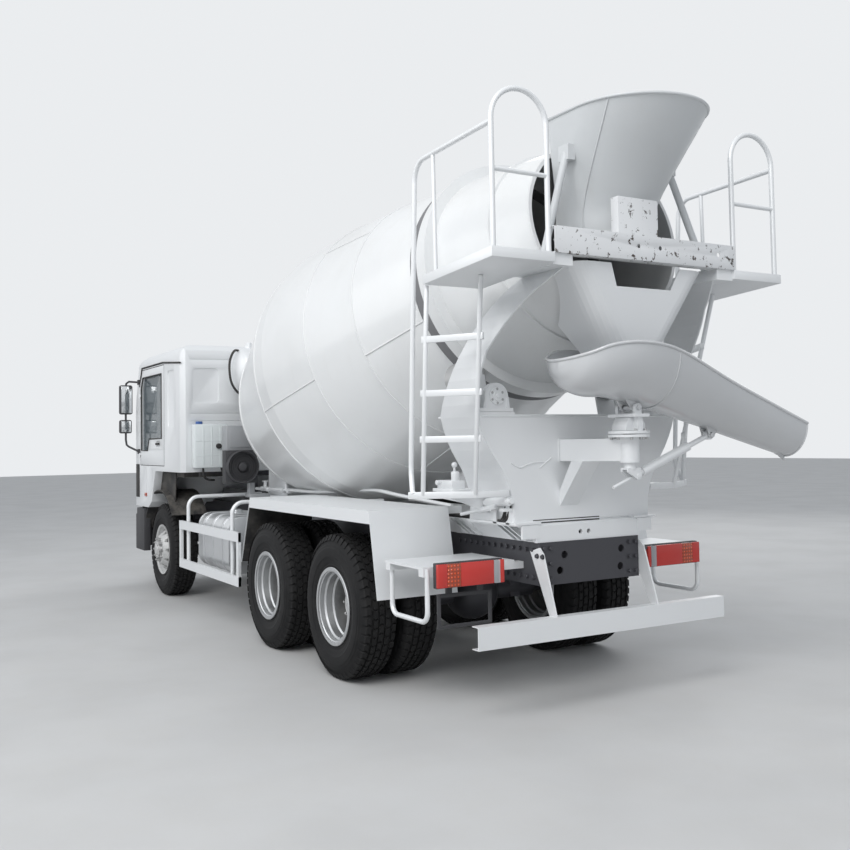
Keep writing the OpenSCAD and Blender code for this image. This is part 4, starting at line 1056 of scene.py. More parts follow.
@dataclass
class TailLamps:
    """The two tail lamps: housing, rim and lenses with moulded prisms."""

    x_back: float = -3.290
    x_front: float = -3.2253
    y: Spot = (0.625, 1.130)
    z: Spot = (0.815, 0.975)

    def build(self) -> None:
        """Builds both lamps in place of the plain blocks."""
        housings, lenses = [], []
        for _, s in SIDES:
            housings.append(Shape().box(*on_side(s, (self.x_back + 0.022, self.y[0], self.z[0]),
                                                 (self.x_front, self.y[1], self.z[1]))).piece("housing",
                                Finishes.PLASTIC, bevel=0.005))
            cuts = (0.0, 0.14, 0.34, 0.84, 0.94, 1.0)
            for i, finish in enumerate(
                (Finishes.LENS_RED, Finishes.LENS_AMBER, Finishes.LENS_RED, Finishes.LENS_CLEAR, Finishes.LENS_RED)):
                a, b = (self.y[1] + (self.y[0] - self.y[1]) * cuts[i + k] for k in (0, 1))
                a, b = span(s, a, b)
                lenses.append(Shape().box((self.x_back, a + 0.0006, self.z[0] + 0.006),
                                          (self.x_back + 0.03, b - 0.0006, self.z[1] - 0.006)).piece("lens", finish,
                                  bevel=0.002))
        frame = Solid(block((-3.212, 0.675, 0.548), (-3.196, 1.09, 0.772))).less(
            block((-3.22, 0.70, 0.573), (-3.18, 1.065, 0.747)))
        housings.append(frame.finished("plate_frame", Finishes.PLASTIC, 0.004))
        for y in (0.76, 1.0):
            housings.append(Shape().box((-3.21, y - 0.02, 0.76), (-3.19, y + 0.02, 0.892)).piece("strap",
                                Finishes.PLASTIC))
        ride(join(housings, "tail_lamp_housings"), Body.CHASSIS, ("tail_lamps",))
        ride(join(lenses, "tail_lamp_lenses"), Body.CHASSIS)


@dataclass
class Stage:
    """Floor, lights, world and the camera at the photograph's place."""

    eye: Point = (-8.65889, 4.31243, 1.74078)
    yaw: float = -30.07995924
    pitch: float = 2.62311721
    roll: float = -0.9888478
    focal_px: float = 986.669
    middle_row: float = 397.218
    picture: int = 850

    def build(self) -> None:
        """Builds the stage."""
        self.camera()
        self.floor()
        self.lights()
        view = bpy.context.scene.view_settings
        view.view_transform = "Standard"

    def camera(self) -> None:
        """Places the camera by its solved angles."""
        yaw, pitch, roll = (math.radians(v) for v in (self.yaw, self.pitch, self.roll))
        ahead = Vector((math.cos(yaw) * math.cos(pitch), math.sin(yaw) * math.cos(pitch), math.sin(pitch)))
        right = Vector((math.sin(yaw), -math.cos(yaw), 0.0))
        up = right.cross(ahead)
        r = math.cos(roll) * right + math.sin(roll) * up
        u = -math.sin(roll) * right + math.cos(roll) * up
        data = bpy.data.cameras.new("camera")
        data.sensor_width = 36.0
        data.lens = 36.0 * self.focal_px / self.picture
        data.shift_y = (self.middle_row - self.picture / 2) / self.picture
        data.clip_end = 300.0
        camera = bpy.data.objects.new("camera", data)
        bpy.context.scene.collection.objects.link(camera)
        camera.matrix_world = Matrix.Translation(self.eye) @ Matrix((r, u, -ahead)).transposed().to_4x4()
        bpy.context.scene.camera = camera

    @staticmethod
    def floor() -> None:
        """Lays the pale floor."""
        shape = Shape()
        corners = [(-60.0, -60.0, 0.0), (60.0, -60.0, 0.0), (60.0, 60.0, 0.0), (-60.0, 60.0, 0.0)]
        shape.bm.faces.new([shape.bm.verts.new(p) for p in corners])
        shape.piece("floor", Finishes.FLOOR, smooth=None)

    @staticmethod
    def lights() -> None:
        """Hangs the soft lamps and the pale surround."""
        world = bpy.data.worlds.new("surround")
        bpy.context.scene.world = world
        world.use_nodes = True
        t = Tree(world.node_tree)
        t.tree.nodes.clear()
        path = t.tree.nodes.new("ShaderNodeLightPath")
        seen = t.node("ShaderNodeMath", {"operation": "MAXIMUM"}, {0: Sock(t, path.outputs["Is Camera Ray"]),
                          1: Sock(t, path.outputs["Is Glossy Ray"])})
        lit = t.node("ShaderNodeBackground", {}, {"Color": (0.88, 0.93, 1.0, 1.0), "Strength": 0.60})
        plain = t.node("ShaderNodeBackground", {}, {"Color": (0.90, 0.92, 0.94, 1.0), "Strength": 0.92})
        mixed = t.node("ShaderNodeMixShader", {}, {0: seen, 1: lit, 2: plain})
        t.node("ShaderNodeOutputWorld", {}, {"Surface": mixed})
        for name, at, size, watts in (
            ("key", (-9.0, 9.0, 11.0), 8.0, 1250.0), ("side", (4.0, 12.0, 6.0), 8.0, 260.0),
            ("far", (6.0, -10.0, 9.0), 8.0, 320.0)):
            data = bpy.data.lights.new(name, "AREA")
            data.energy = watts
            data.size = size
            lamp = bpy.data.objects.new(name, data)
            bpy.context.scene.collection.objects.link(lamp)
            lamp.location = at
            lamp.rotation_euler = (Vector((-0.5, 0.0, 1.5)) - Vector(at)).to_track_quat("-Z", "Y").to_euler()


class Solid:
    """A closed mesh that is cut by others, held within them, or grown by them."""

    def __init__(self, piece: Thing) -> None:
        """Takes a piece over."""
        self.piece = piece

    def _combine(self, operation: str, others: Sequence[Thing]) -> "Solid":
        """Works out one boolean for each of the others and removes them.

        Args:
            operation: DIFFERENCE, INTERSECT or UNION.
            others: Closed meshes.
        Returns:
            This solid.
        """
        for other in others:
            modifier = self.piece.modifiers.new("solid", "BOOLEAN")
            modifier.operation = operation
            modifier.solver = "EXACT"
            modifier.object = other
            bpy.context.view_layer.update()
            evaluated = self.piece.evaluated_get(bpy.context.evaluated_depsgraph_get())
            mesh = bpy.data.meshes.new_from_object(evaluated)
            self.piece.modifiers.clear()
            self.piece.data = mesh
            bpy.data.objects.remove(other)
        return self

    def less(self, *others: Thing) -> "Solid":
        """Takes the others away."""
        return self._combine("DIFFERENCE", others)

    def within(self, *others: Thing) -> "Solid":
        """Keeps what lies in each of the others."""
        return self._combine("INTERSECT", others)

    def plus(self, *others: Thing) -> "Solid":
        """Joins the others on."""
        return self._combine("UNION", others)

    def finished(self, name: str, finish: Finishes, bevel: float = 0.003, smooth: float = 35.0) -> Thing:
        """Turns the solid into a dressed piece with broken edges.

        Args:
            name: Name of the piece.
            finish: Its material.
            bevel: Width of the bevel.
            smooth: Angle under which faces shade smoothly.
        Returns:
            The piece.
        """
        shape = Shape()
        shape.bm.from_mesh(self.piece.data)
        bpy.data.objects.remove(self.piece)
        bmesh.ops.dissolve_limit(shape.bm, angle_limit=math.radians(0.5), verts=shape.bm.verts, edges=shape.bm.edges)
        return shape.piece(name, finish, smooth, bevel)


def plate_xz(outline: Sequence[Spot], y0: float, y1: float) -> Thing:
    """Plate with an outline in X and Z, from y0 to y1."""
    return Shape().prism([(x, y0, z) for x, z in outline], (0, y1 - y0, 0)).piece("plate", smooth=None)


def plate_yz(outline: Sequence[Spot], x0: float, x1: float) -> Thing:
    """Plate with an outline in Y and Z, from x0 to x1."""
    return Shape().prism([(x0, y, z) for y, z in outline], (x1 - x0, 0, 0)).piece("plate", smooth=None)


def plate_xy(outline: Sequence[Spot], z0: float, z1: float) -> Thing:
    """Plate with an outline in X and Y, from z0 to z1."""
    return Shape().prism([(x, y, z0) for x, y in outline], (0, 0, z1 - z0)).piece("plate", smooth=None)


def block(low: Point, high: Point) -> Thing:
    """Box between two corners."""
    return Shape().box(low, high).piece("block", smooth=None)


def arc(centre: Spot, radius: float, start: float, end: float, steps: int) -> list[Spot]:
    """Points of an arc between two angles in degrees."""
    turns = [math.radians(start + (end - start) * k / steps) for k in range(steps + 1)]
    return [(centre[0] + radius * math.cos(t), centre[1] + radius * math.sin(t)) for t in turns]


def rounded(low: Spot, high: Spot, radius: float, steps: int = 4) -> list[Spot]:
    """Rectangle with round corners."""
    (a, b), (c, d) = low, high
    return (arc((c - radius, d - radius), radius, 0, 90, steps) + arc((a + radius, d - radius), radius, 90, 180,
                steps) + arc((a + radius, b + radius), radius, 180, 270, steps)
            + arc((c - radius, b + radius), radius, 270, 360, steps))


@dataclass
class Cab:
    """The cab: shell, doors, seals, handles, mirrors, liners and what stands inside."""

    rear: float = 2.07
    front: float = 4.33
    half: float = 1.2
    top: float = 2.87
    sill: float = 1.455
    foot: float = 1.01
    wall: float = 0.05
    door_rear: float = 2.76
    door_front: float = 3.85
    door_foot: float = 1.515
    gap: float = 0.008
    arch: float = 0.70
    hinge: Spot = (3.852, 1.209)

    def side(self, i: float) -> list[Spot]:
        """Side outline, i inside the outer face."""
        return [(self.rear + i, self.sill + i), (self.rear + i, self.top - 0.06 - i),
                (self.rear + 0.06 + i / 2, self.top - i), (3.70, self.top - i), (3.90 - i, self.top - 0.09 - i),
                (self.front - 0.09 - i, 1.78), (self.front - i, 1.68), (self.front + 0.02 - i, self.foot + i),
                (3.48 + i, self.foot + i), (3.33 + i, 1.085 + i), (3.16 + i / 2, self.sill + i)]

    def plan(self, i: float) -> list[Spot]:
        """Outline seen from above, i inside the outer face."""
        w, f = self.half - i, self.front
        return ([(self.rear + i, w - 0.05), (self.rear + 0.05 + i, w), (f - 0.3, w)]
                + arc((f - 0.29, w - 0.31), 0.31, 90, 0, 8) + arc((f - 0.29, -w + 0.31), 0.31, 0, -90, 8)
                + [(f - 0.3, -w), (self.rear + 0.05 + i, -w), (self.rear + i, -w + 0.05)])

    def end(self, i: float) -> list[Spot]:
        """Outline seen from behind, i inside the outer face."""
        w, h = self.half - i, self.top - i
        return ([(w, self.foot - 0.01 + i), (w, h - 0.13)] + arc((w - 0.13, h - 0.13), 0.13, 0, 90, 6)
                + arc((-w + 0.13, h - 0.13), 0.13, 90, 180, 6) + [(-w, self.foot - 0.01 + i)])

    def body(self, i: float) -> Solid:
        """The cab's whole form, i inside the outer face."""
        return Solid(plate_xz(self.side(i), -self.half, self.half)).within(
            plate_xy(self.plan(i), 0.9, 3.1), plate_yz(self.end(i), self.rear - 0.01, self.front + 0.09))

    def door_line(self, g: float) -> list[Spot]:
        """Outline of a door, g inside the opening."""
        return [(self.door_rear + g, self.door_foot + g), (self.door_rear + g, 2.70 - g), (3.76 - g, 2.70 - g),
                (self.door_front - g, 2.50 - g), (self.door_front - g, self.door_foot + g)]

    @property
    def window_line(self) -> list[Spot]:
        """Outline of a door's window."""
        return [(2.87, 1.84), (2.87, 2.60), (3.72, 2.60), (3.79, 2.48), (3.79, 1.70), (3.50, 1.70), (3.42, 1.84)]

    def build(self) -> None:
        """Builds every piece of the cab."""
        self.shell()
        for side, s in SIDES:
            self.door(side, s)
        self.trim()
        self.mirrors()
        self.inside()
        self.expansion_tank()

    def shell(self) -> None:
        """Builds the hollow shell with its openings and pressings, in place of the plain one."""
        w, r = self.half, self.rear
        hollow = self.body(self.wall).less(block((3.45, -0.55, 0.9), (self.front, 0.55, 1.18))).piece
        shell = self.body(0.0).less(
            hollow, block((3.40, -0.5, 0.9), (self.front - 0.05, 0.5, 1.13)),
            plate_xz(self.door_line(0.0), w - 0.075, w + 0.075), plate_xz(self.door_line(0.0), -w - 0.075,
                -w + 0.075), plate_yz([(-1.02, 1.85), (1.02, 1.85), (0.96, 2.64), (-0.96, 2.64)], 3.7, 4.5),
            plate_yz(rounded((-0.3, 2.13), (0.3, 2.56), 0.04), r - 0.01, r + 0.07))
        for s in (1, -1):
            a, b = span(s, 0.77, 1.075)
            shell.less(plate_yz(rounded((a, 2.225), (b, 2.61), 0.05), r - 0.01, r + 0.010))
            lo, hi = span(s, w - 0.009, w + 0.01)
            shell.less(plate_xz(rounded((2.335, 1.965), (2.61, 2.61), 0.045), lo, hi))
        for z in (2.706, 2.104, 2.021):
            shell.less(block((r - 0.01, -1.1, z - 0.006), (r + 0.005, 1.1, z + 0.006)))
        for s in (1, -1):
            for x in (3.32, 3.60):
                shell.less(block(*on_side(s, (x, w - 0.004, 1.10), (x + 0.005, w + 0.01, self.door_foot - 0.02))))
        ride(shell.finished("cab_shell_dressed", Finishes.WHITE, 0.004), Body.CAB, ("cab_shell",))
        brackets = Shape()
        for s in (1, -1):
            brackets.box(*on_side(s, (4.20, 0.400, 0.985), (4.26, 0.414, 1.135)))
            brackets.lathe(lathed((s * 0.366, 0.016), (s * 0.400, 0.016), (s * 0.400, 0.03), (s * 0.414, 0.03)),
                           (4.23, 0, 0.985), LEFT, 20, False)
            for z in (1.62, 2.35):
                brackets.lathe(lathed((0, 0.008), (0.024, 0.008), (0.024, 0.004), (0.052, 0.004)),
                               (self.hinge[0], s * self.hinge[1], z), UP, 12, False)
                brackets.box(*on_side(s, (3.855, 1.199, z), (3.90, 1.206, z + 0.024)))
        ride(brackets.piece("cab_brackets", Finishes.WHITE), Body.CAB)

    def door(self, side: str, s: int) -> None:
        """Builds one door with its seal, handle and hinges.

        Args:
            side: Name of the side.
            s: 1 on the left, -1 on the right.
        """
        w = self.half
        lo, hi = span(s, w - self.wall - 0.02, w + 0.02)
        door = self.body(0.0).less(self.body(self.wall).piece).within(plate_xz(self.door_line(self.gap), lo, hi))
        door.less(plate_xz(self.window_line, lo - 0.05, hi + 0.05))
        groove = [(self.door_rear + 0.05, 1.70), (3.80, 1.70), (3.80, 1.706), (self.door_rear + 0.05, 1.706)]
        a, b = span(s, w - 0.003, w + 0.02)
        door.less(plate_xz(groove, a, b), plate_xz(rounded((2.945, 1.745), (3.115, 1.81), 0.025),
                                                   *span(s, w - 0.016, w + 0.02)))
        leaf = door.finished(f"door_{side}_dressed", Finishes.WHITE, 0.003)
        hinges = Shape()
        for z in (1.62, 2.35):
            hinges.lathe([(0, 0.0042), (0, 0.008), (0.024, 0.008), (0.024, 0.0042)],
                         (self.hinge[0], s * self.hinge[1], z + 0.0243), UP, 12)
            hinges.box(*on_side(s, (3.79, 1.2003, z + 0.0243), (3.846, 1.207, z + 0.0483)))
        body = f"door_{side}_leaf"
        ride(join([leaf, hinges.piece("hinges", Finishes.WHITE)], f"door_{side}_dressed"), body,
             (f"door_{side}",))
        line = [(x, s * (w + 0.0005), z) for x, z in self.window_line]
        seal = Shape().tube(line + line[:2], 0.009, 8, False)
        seal.tube([(x, s * (w - 0.002), z) for x, z in self.door_line(self.gap / 2)
                   + self.door_line(self.gap / 2)[:1]], 0.0035, 6, False)
        seal.box(*[tuple(p) for p in zip(*[sorted(c) for c in zip((2.96, s * (w + 0.001), 1.765),
                                 (3.10, s * (w + 0.016), 1.79))])])
        ride(seal.piece(f"door_{side}_seal", Finishes.SEAL), body)

    def trim(self) -> None:
        """Builds seals, gutters, deflectors, side lamps, the visor and the wheel arch liners."""
        w, r = self.half, self.rear
        seals = Shape()
        ring = [(r - 0.001, y, z) for y, z in rounded((-0.3, 2.13), (0.3, 2.56), 0.04)]
        seals.tube(ring + ring[:1], 0.011, 8, False)
        for s in (1, -1):
            seals.tube([(2.09, s * (w + 0.004), 2.668), (2.8, s * (w + 0.004), 2.722), (3.74, s * (w + 0.004), 2.722),
                        (3.885, s * (w - 0.002), 2.50)], 0.011, 8)
            seals.box(*on_side(s, (3.90, w - 0.02, 1.12), (4.03, w + 0.012, 1.53)))
            seals.box(*on_side(s, (r - 0.012, 0.93, 1.40), (r + 0.05, 0.99, 1.455)))
        ride(seals.piece("cab_seals", Finishes.SEAL, bevel=0.0015), Body.CAB)
        liners = []
        for s in (1, -1):
            path = arc((Wheels.front_x, Wheels.axle_z), self.arch, 18, 142, 22)
            lo, hi = span(s, 0.78, 1.185)
            liners.append(plate_xz(path + [(x * 0.98 + Wheels.front_x * 0.02, z * 0.98 + Wheels.axle_z * 0.02)
                                           for x, z in reversed(path)], lo, hi))
            top = arc((Wheels.front_x, Wheels.axle_z), self.arch, 62, 125, 10)
            lo, hi = span(s, 1.10, 1.108)
            liners.append(plate_xz(top + [(2.60, self.sill - 0.0005), (3.30, self.sill - 0.0005)], lo, hi))
            liners.append(block(*on_side(s, (2.30, 0.45, 1.395), (3.12, 1.10, self.sill - 0.0005))))
        for made in liners:
            made.data.materials.append(Finishes.LINER_AND_PAINTED_SHADE.material)
        visor = Solid(plate_xz([(3.86, 2.79), (4.13, 2.68), (4.13, 2.705), (3.86, 2.85)], -1.05, 1.05)).less(
            self.body(-0.0003).piece).finished("visor", Finishes.PLASTIC, 0.003)
        ride(join(liners + [visor], "cab_trim_dressed"), Body.CAB, ("cab_trim",))
        lamps = Shape()
        for s in (1, -1):
            lamps.box(*on_side(s, (3.545, w - 0.002, 1.14), (3.625, w + 0.014, 1.185)))
        for y in (-0.85, -0.35, 0.35, 0.85):
            lamps.box((3.60, y - 0.05, self.top - 0.002), (3.66, y + 0.05, self.top + 0.022))
        ride(lamps.piece("cab_side_lamps", Finishes.LENS_AMBER, bevel=0.006), Body.CAB)

    def mirrors(self) -> None:
        """Builds the mirrors with their arms and glasses."""
        arms, heads, glasses = Shape(), [], Shape()
        for s in (1, -1):
            w = self.half
            for z in (2.56, 1.69):
                arms.box(*on_side(s, (3.87, w + 0.0003, z - 0.03), (3.93, w + 0.02, z + 0.03)))
            post = [(3.90, s * (w + 0.012), 2.56), (4.03, s * 1.30, 2.575), (4.065, s * 1.325, 2.55),
                    (4.068, s * 1.33, 2.48), (4.068, s * 1.33, 1.84), (4.06, s * 1.322, 1.775),
                    (4.03, s * 1.30, 1.75), (3.90, s * (w + 0.012), 1.69)]
            arms.tube(post, 0.013, 10)
            for low, high in (((4.025, 1.25, 2.16), (4.11, 1.41, 2.53)), ((4.025, 1.26, 1.92), (4.11, 1.41, 2.09))):
                y0, y1 = span(s, low[1], high[1])
                heads.append(Shape().box((low[0], y0, low[2]), (high[0], y1, high[2])).piece("head", Finishes.PLASTIC,
                                 40, 0.022))
                glasses.box((low[0] - 0.003, y0 + 0.016, low[2] + 0.016), (low[0] + 0.005, y1 - 0.016,
                                high[2] - 0.016))
        ride(join([arms.piece("arms", Finishes.PLASTIC)] + heads, "mirrors_dressed"), Body.CAB,
             ("mirrors",))
        ride(glasses.piece("mirror_glasses", Finishes.MIRROR, bevel=0.002), Body.CAB)

    def inside(self) -> None:
        """Builds the padded seats and the bunk."""
        parts = []
        for s in (1, -1):
            y0, y1 = span(s, 0.33, 0.83)
            for low, high, soft in (
                ((2.98, y0, 1.62), (3.46, y1, 1.76), 0.05), ((2.86, y0, 1.74), (2.99, y1, 2.28), 0.05),
                ((2.88, s * 0.58 - 0.13, 2.30), (2.97, s * 0.58 + 0.13, 2.46), 0.035),
                ((3.05, s * 0.58 - 0.17, 1.506), (3.38, s * 0.58 + 0.17, 1.625), 0.01)):
                parts.append(Shape().box(low, high).piece("pad", Finishes.SEAT, 50, soft))
        parts.append(Shape().box((2.14, -1.10, 1.506), (2.70, 1.10, 1.64)).piece("bunk", Finishes.SEAT, 50, 0.04))
        seats = ride(join(parts, "seats_dressed"), Body.CAB, ("seats",))

    def expansion_tank(self) -> None:
        """Builds the coolant tank behind the cab: ribs, caps and hoses."""
        x = self.rear
        parts = [Shape().box((x - 0.125, 0.70, 1.50), (x - 0.004, 1.09, 1.985)).piece("tank", Finishes.MILKY, 40,
                     0.022)]
        ribs = Shape()
        for y in (0.80, 0.895, 0.99):
            ribs.box((x - 0.129, y - 0.007, 1.53), (x - 0.12, y + 0.007, 1.955))
        for z in (1.64, 1.80):
            ribs.box((x - 0.128, 0.715, z - 0.006), (x - 0.12, 1.075, z + 0.006))
        parts.append(ribs.piece("ribs", Finishes.MILKY, bevel=0.002))
        ride(join(parts, "expansion_tank_dressed"), Body.CAB, ("expansion_tank",))
        caps = Shape()
        caps.lathe(lathed((0, 0.038), (0.026, 0.038), (0.032, 0.032)), (x - 0.065, 1.02, 1.983), UP, 20, False)
        ride(caps.piece("coolant_cap", Finishes.CAP_BLUE), Body.CAB)
        hoses = Shape()
        hoses.lathe(lathed((0, 0.03), (-0.03, 0.03), (-0.034, 0.022)), (x - 0.12, 0.82, 1.74), AHEAD, 16, False)
        hoses.tube(smooth_path([(x - 0.07, 0.77, 1.51), (x - 0.07, 0.74, 1.42), (x - 0.01, 0.66, 1.36),
                                (x + 0.08, 0.60, 1.34)]), 0.016, 10)
        hoses.tube(smooth_path([(x - 0.07, 0.98, 1.51), (x - 0.07, 0.97, 1.41), (x - 0.0, 0.90, 1.37),
                                (x + 0.1, 0.8, 1.36)]), 0.012, 10)
        hoses.tube(smooth_path([(x - 0.11, 0.76, 1.90), (x - 0.17, 0.70, 1.93), (x - 0.16, 0.60, 1.80),
                                (x - 0.10, 0.56, 1.55), (x - 0.03, 0.5, 1.40)]), 0.010, 8)
        ride(hoses.piece("coolant_hoses", Finishes.SEAL), Body.CAB)


@dataclass
class Chute:
    """The discharge chute: a smooth trough with a rolled rim, its lugs and pins."""

    pivot_x: float = -3.82
    tilt_z: float = 1.94
    eye: Spot = (-0.704, 1.758)
    wall: float = 0.008
    rows: tuple[tuple[float, float, float, float], ...] = (
        (0.560, 0.012, 2.235, 2.195), (0.551, 0.075, 2.238, 2.150), (0.527, 0.140, 2.247, 2.112),
        (0.470, 0.230, 2.270, 2.050), (0.350, 0.305, 2.315, 2.010), (0.150, 0.350, 2.330, 2.003),
        (-0.150, 0.330, 2.290, 1.940), (-0.650, 0.270, 2.110, 1.815), (-1.060, 0.236, 1.968, 1.706),
        (-1.460, 0.205, 1.832, 1.600))
    steps: int = 28

    def surface(self, t: float) -> list[list[Point]]:
        """Rings of the trough, t inside its outer face."""
        out = []
        for y, half, rim, low in smooth_path(self.rows, 6):
            turns = [math.pi * (1 + k / self.steps) for k in range(self.steps + 1)]
            out.append([(self.pivot_x + (half - t) * math.cos(a), y, rim + (rim - low - t) * math.sin(a))
                        for a in turns])
        return out

    def build(self, repeats: Repeats) -> None:
        """Builds the chute in place of the plain one."""
        shape = Shape()
        outer, inner = ([[shape.bm.verts.new(p) for p in ring] for ring in self.surface(t)] for t in (0.0, self.wall))
        for v in inner[0]:
            v.co.y -= self.wall
        for skin in (outer, inner):
            for a, b in zip(skin, skin[1:]):
                for k in range(self.steps):
                    shape.bm.faces.new((a[k], a[k + 1], b[k + 1], b[k]))
        for k in (0, self.steps):
            for i in range(len(outer) - 1):
                shape.bm.faces.new((outer[i][k], outer[i + 1][k], inner[i + 1][k], inner[i][k]))
        for k in range(self.steps):
            shape.bm.faces.new((outer[-1][k], outer[-1][k + 1], inner[-1][k + 1], inner[-1][k]))
        shape.bm.faces.new(outer[0])
        shape.bm.faces.new(inner[0])
        shape.bm.faces.new((outer[0][0], outer[0][-1], inner[0][-1], inner[0][0]))
        rings = self.surface(0.0)
        rim = [r[0] for r in reversed(rings)] + [r[-1] for r in rings]
        shape.tube([(x, y, z - 0.002) for x, y, z in rim], 0.0105, 10)
        shape.tube([(x, y + 0.004, z) for x, y, z in rings[-1]], 0.006, 8)
        dish = shape.piece("dish", Finishes.CHUTE, 40)
        lugs = Shape()
        p, e = self.pivot_x, self.eye
        for s in (1, -1):
            plate = [(-0.024, self.tilt_z), (0.024, self.tilt_z), (0.060, 1.997), (-0.060, 1.977)]
            lugs.prism([(p + s * 0.036, y, z) for y, z in plate], (s * 0.024, 0, 0))
            lugs.prism([(p + s * 0.022, y, z) for y, z in ((e[0] - 0.022, e[1]), (e[0] + 0.022, e[1]),
                                                           (e[0] + 0.05, 1.828), (e[0] - 0.06, 1.798))],
                       (s * 0.014, 0, 0))
            lugs.lathe(rod(s * 0.036, s * 0.060, 0.024), (p, 0, self.tilt_z), AHEAD, 24, False)
            lugs.lathe(rod(s * 0.022, s * 0.036, 0.022), (p, e[0], e[1]), AHEAD, 24, False)
        for x, y, z in ((0.099, 0.0, self.tilt_z), (0.036, e[0], e[1])):
            lugs.lathe(rod(-x, x, 0.014), (p, y, z), AHEAD, 20, False)
            for s in (1, -1):
                lugs.lathe(rod(s * x, s * (x + 0.01), 0.019), (p, y, z), AHEAD, 6, False)
        lugs.prism([(p - 0.01, -1.44, 1.60), (p - 0.01, -1.452, 1.57), (p - 0.01, -1.40, 1.60),
                    (p - 0.01, -1.38, 1.635)], (0.02, 0, 0))
        ride(join([dish, lugs.piece("lugs", Finishes.CHUTE, bevel=0.002)], "chute_dressed"), Body.CHUTE,
             ("chute",))
        seam = [[(x, y, z - 0.001) for x, y, z in ring] for ring in (rings[36],)]
        ride(repeats.weld("chute_welds", seam, 0.005, Finishes.CHUTE), Body.CHUTE)


@dataclass
class Hopper:
    """The charge hopper: a smooth scoop with a rolled rim, its stays and lugs."""

    rows: tuple[tuple[float, float, float, float], ...] = (
        (3.060, -3.600, 0.330, -3.490), (3.300, -3.640, 0.352, -3.540), (3.800, -3.942, 0.463, -3.610))
    wall: float = 0.007

    def ring(self, row: tuple[float, float, float, float], t: float) -> list[Point]:
        """One level of the hopper, t inside its outer face."""
        z, middle, radius, front = row
        back = arc((middle, 0.0), radius - t, 90, 270, 36)
        return [(x, y, z) for x, y in back] + [
            (front - t - 0.03, -(radius - t), z), (front - t, -(radius - t) + 0.03, z),
            (front - t, radius - t - 0.03, z), (front - t - 0.03, radius - t, z)]

    def build(self, repeats: Repeats) -> None:
        """Builds the hopper in place of the plain one."""
        shape = Shape()
        levels = [tuple(v) for v in smooth_path([Vector(r) for r in self.rows], 5)]
        skins = [[[shape.bm.verts.new(p) for p in self.ring(row, t)] for row in levels] for t in (0.0, self.wall)]
        n = len(skins[0][0])
        for skin in skins:
            for a, b in zip(skin, skin[1:]):
                for k in range(n):
                    shape.bm.faces.new((a[k], a[(k + 1) % n], b[(k + 1) % n], b[k]))
        for i in (0, -1):
            for k in range(n):
                shape.bm.faces.new((skins[0][i][k], skins[0][i][(k + 1) % n], skins[1][i][(k + 1) % n],
                                    skins[1][i][k]))
        rim = self.ring(levels[-1], 0.0)
        shape.tube(rim + rim[:2], 0.010, 10, False)
        foot = self.ring(levels[0], -0.004)
        shape.tube(foot + foot[:2], 0.006, 8, False)
        for s in (1, -1):
            shape.tube([(-3.86, s * 0.68, 2.868), (-3.79, s * 0.43, 3.56)], 0.024, 16)
            shape.box(*on_side(s, (-3.84, 0.40, 3.50), (-3.74, 0.455, 3.60)))
            shape.box(*on_side(s, (-3.92, 0.62, 2.851), (-3.80, 0.74, 2.863)))
        ride(shape.piece("charge_hopper_dressed", Finishes.HOPPER, 40), Body.CHASSIS,
             ("charge_hopper",))
        beads = [[self.ring(row, -0.001)[k] for row in levels] for k in (6, 30)]
        ride(repeats.weld("hopper_welds", beads, 0.005, Finishes.HOPPER), Body.CHASSIS)


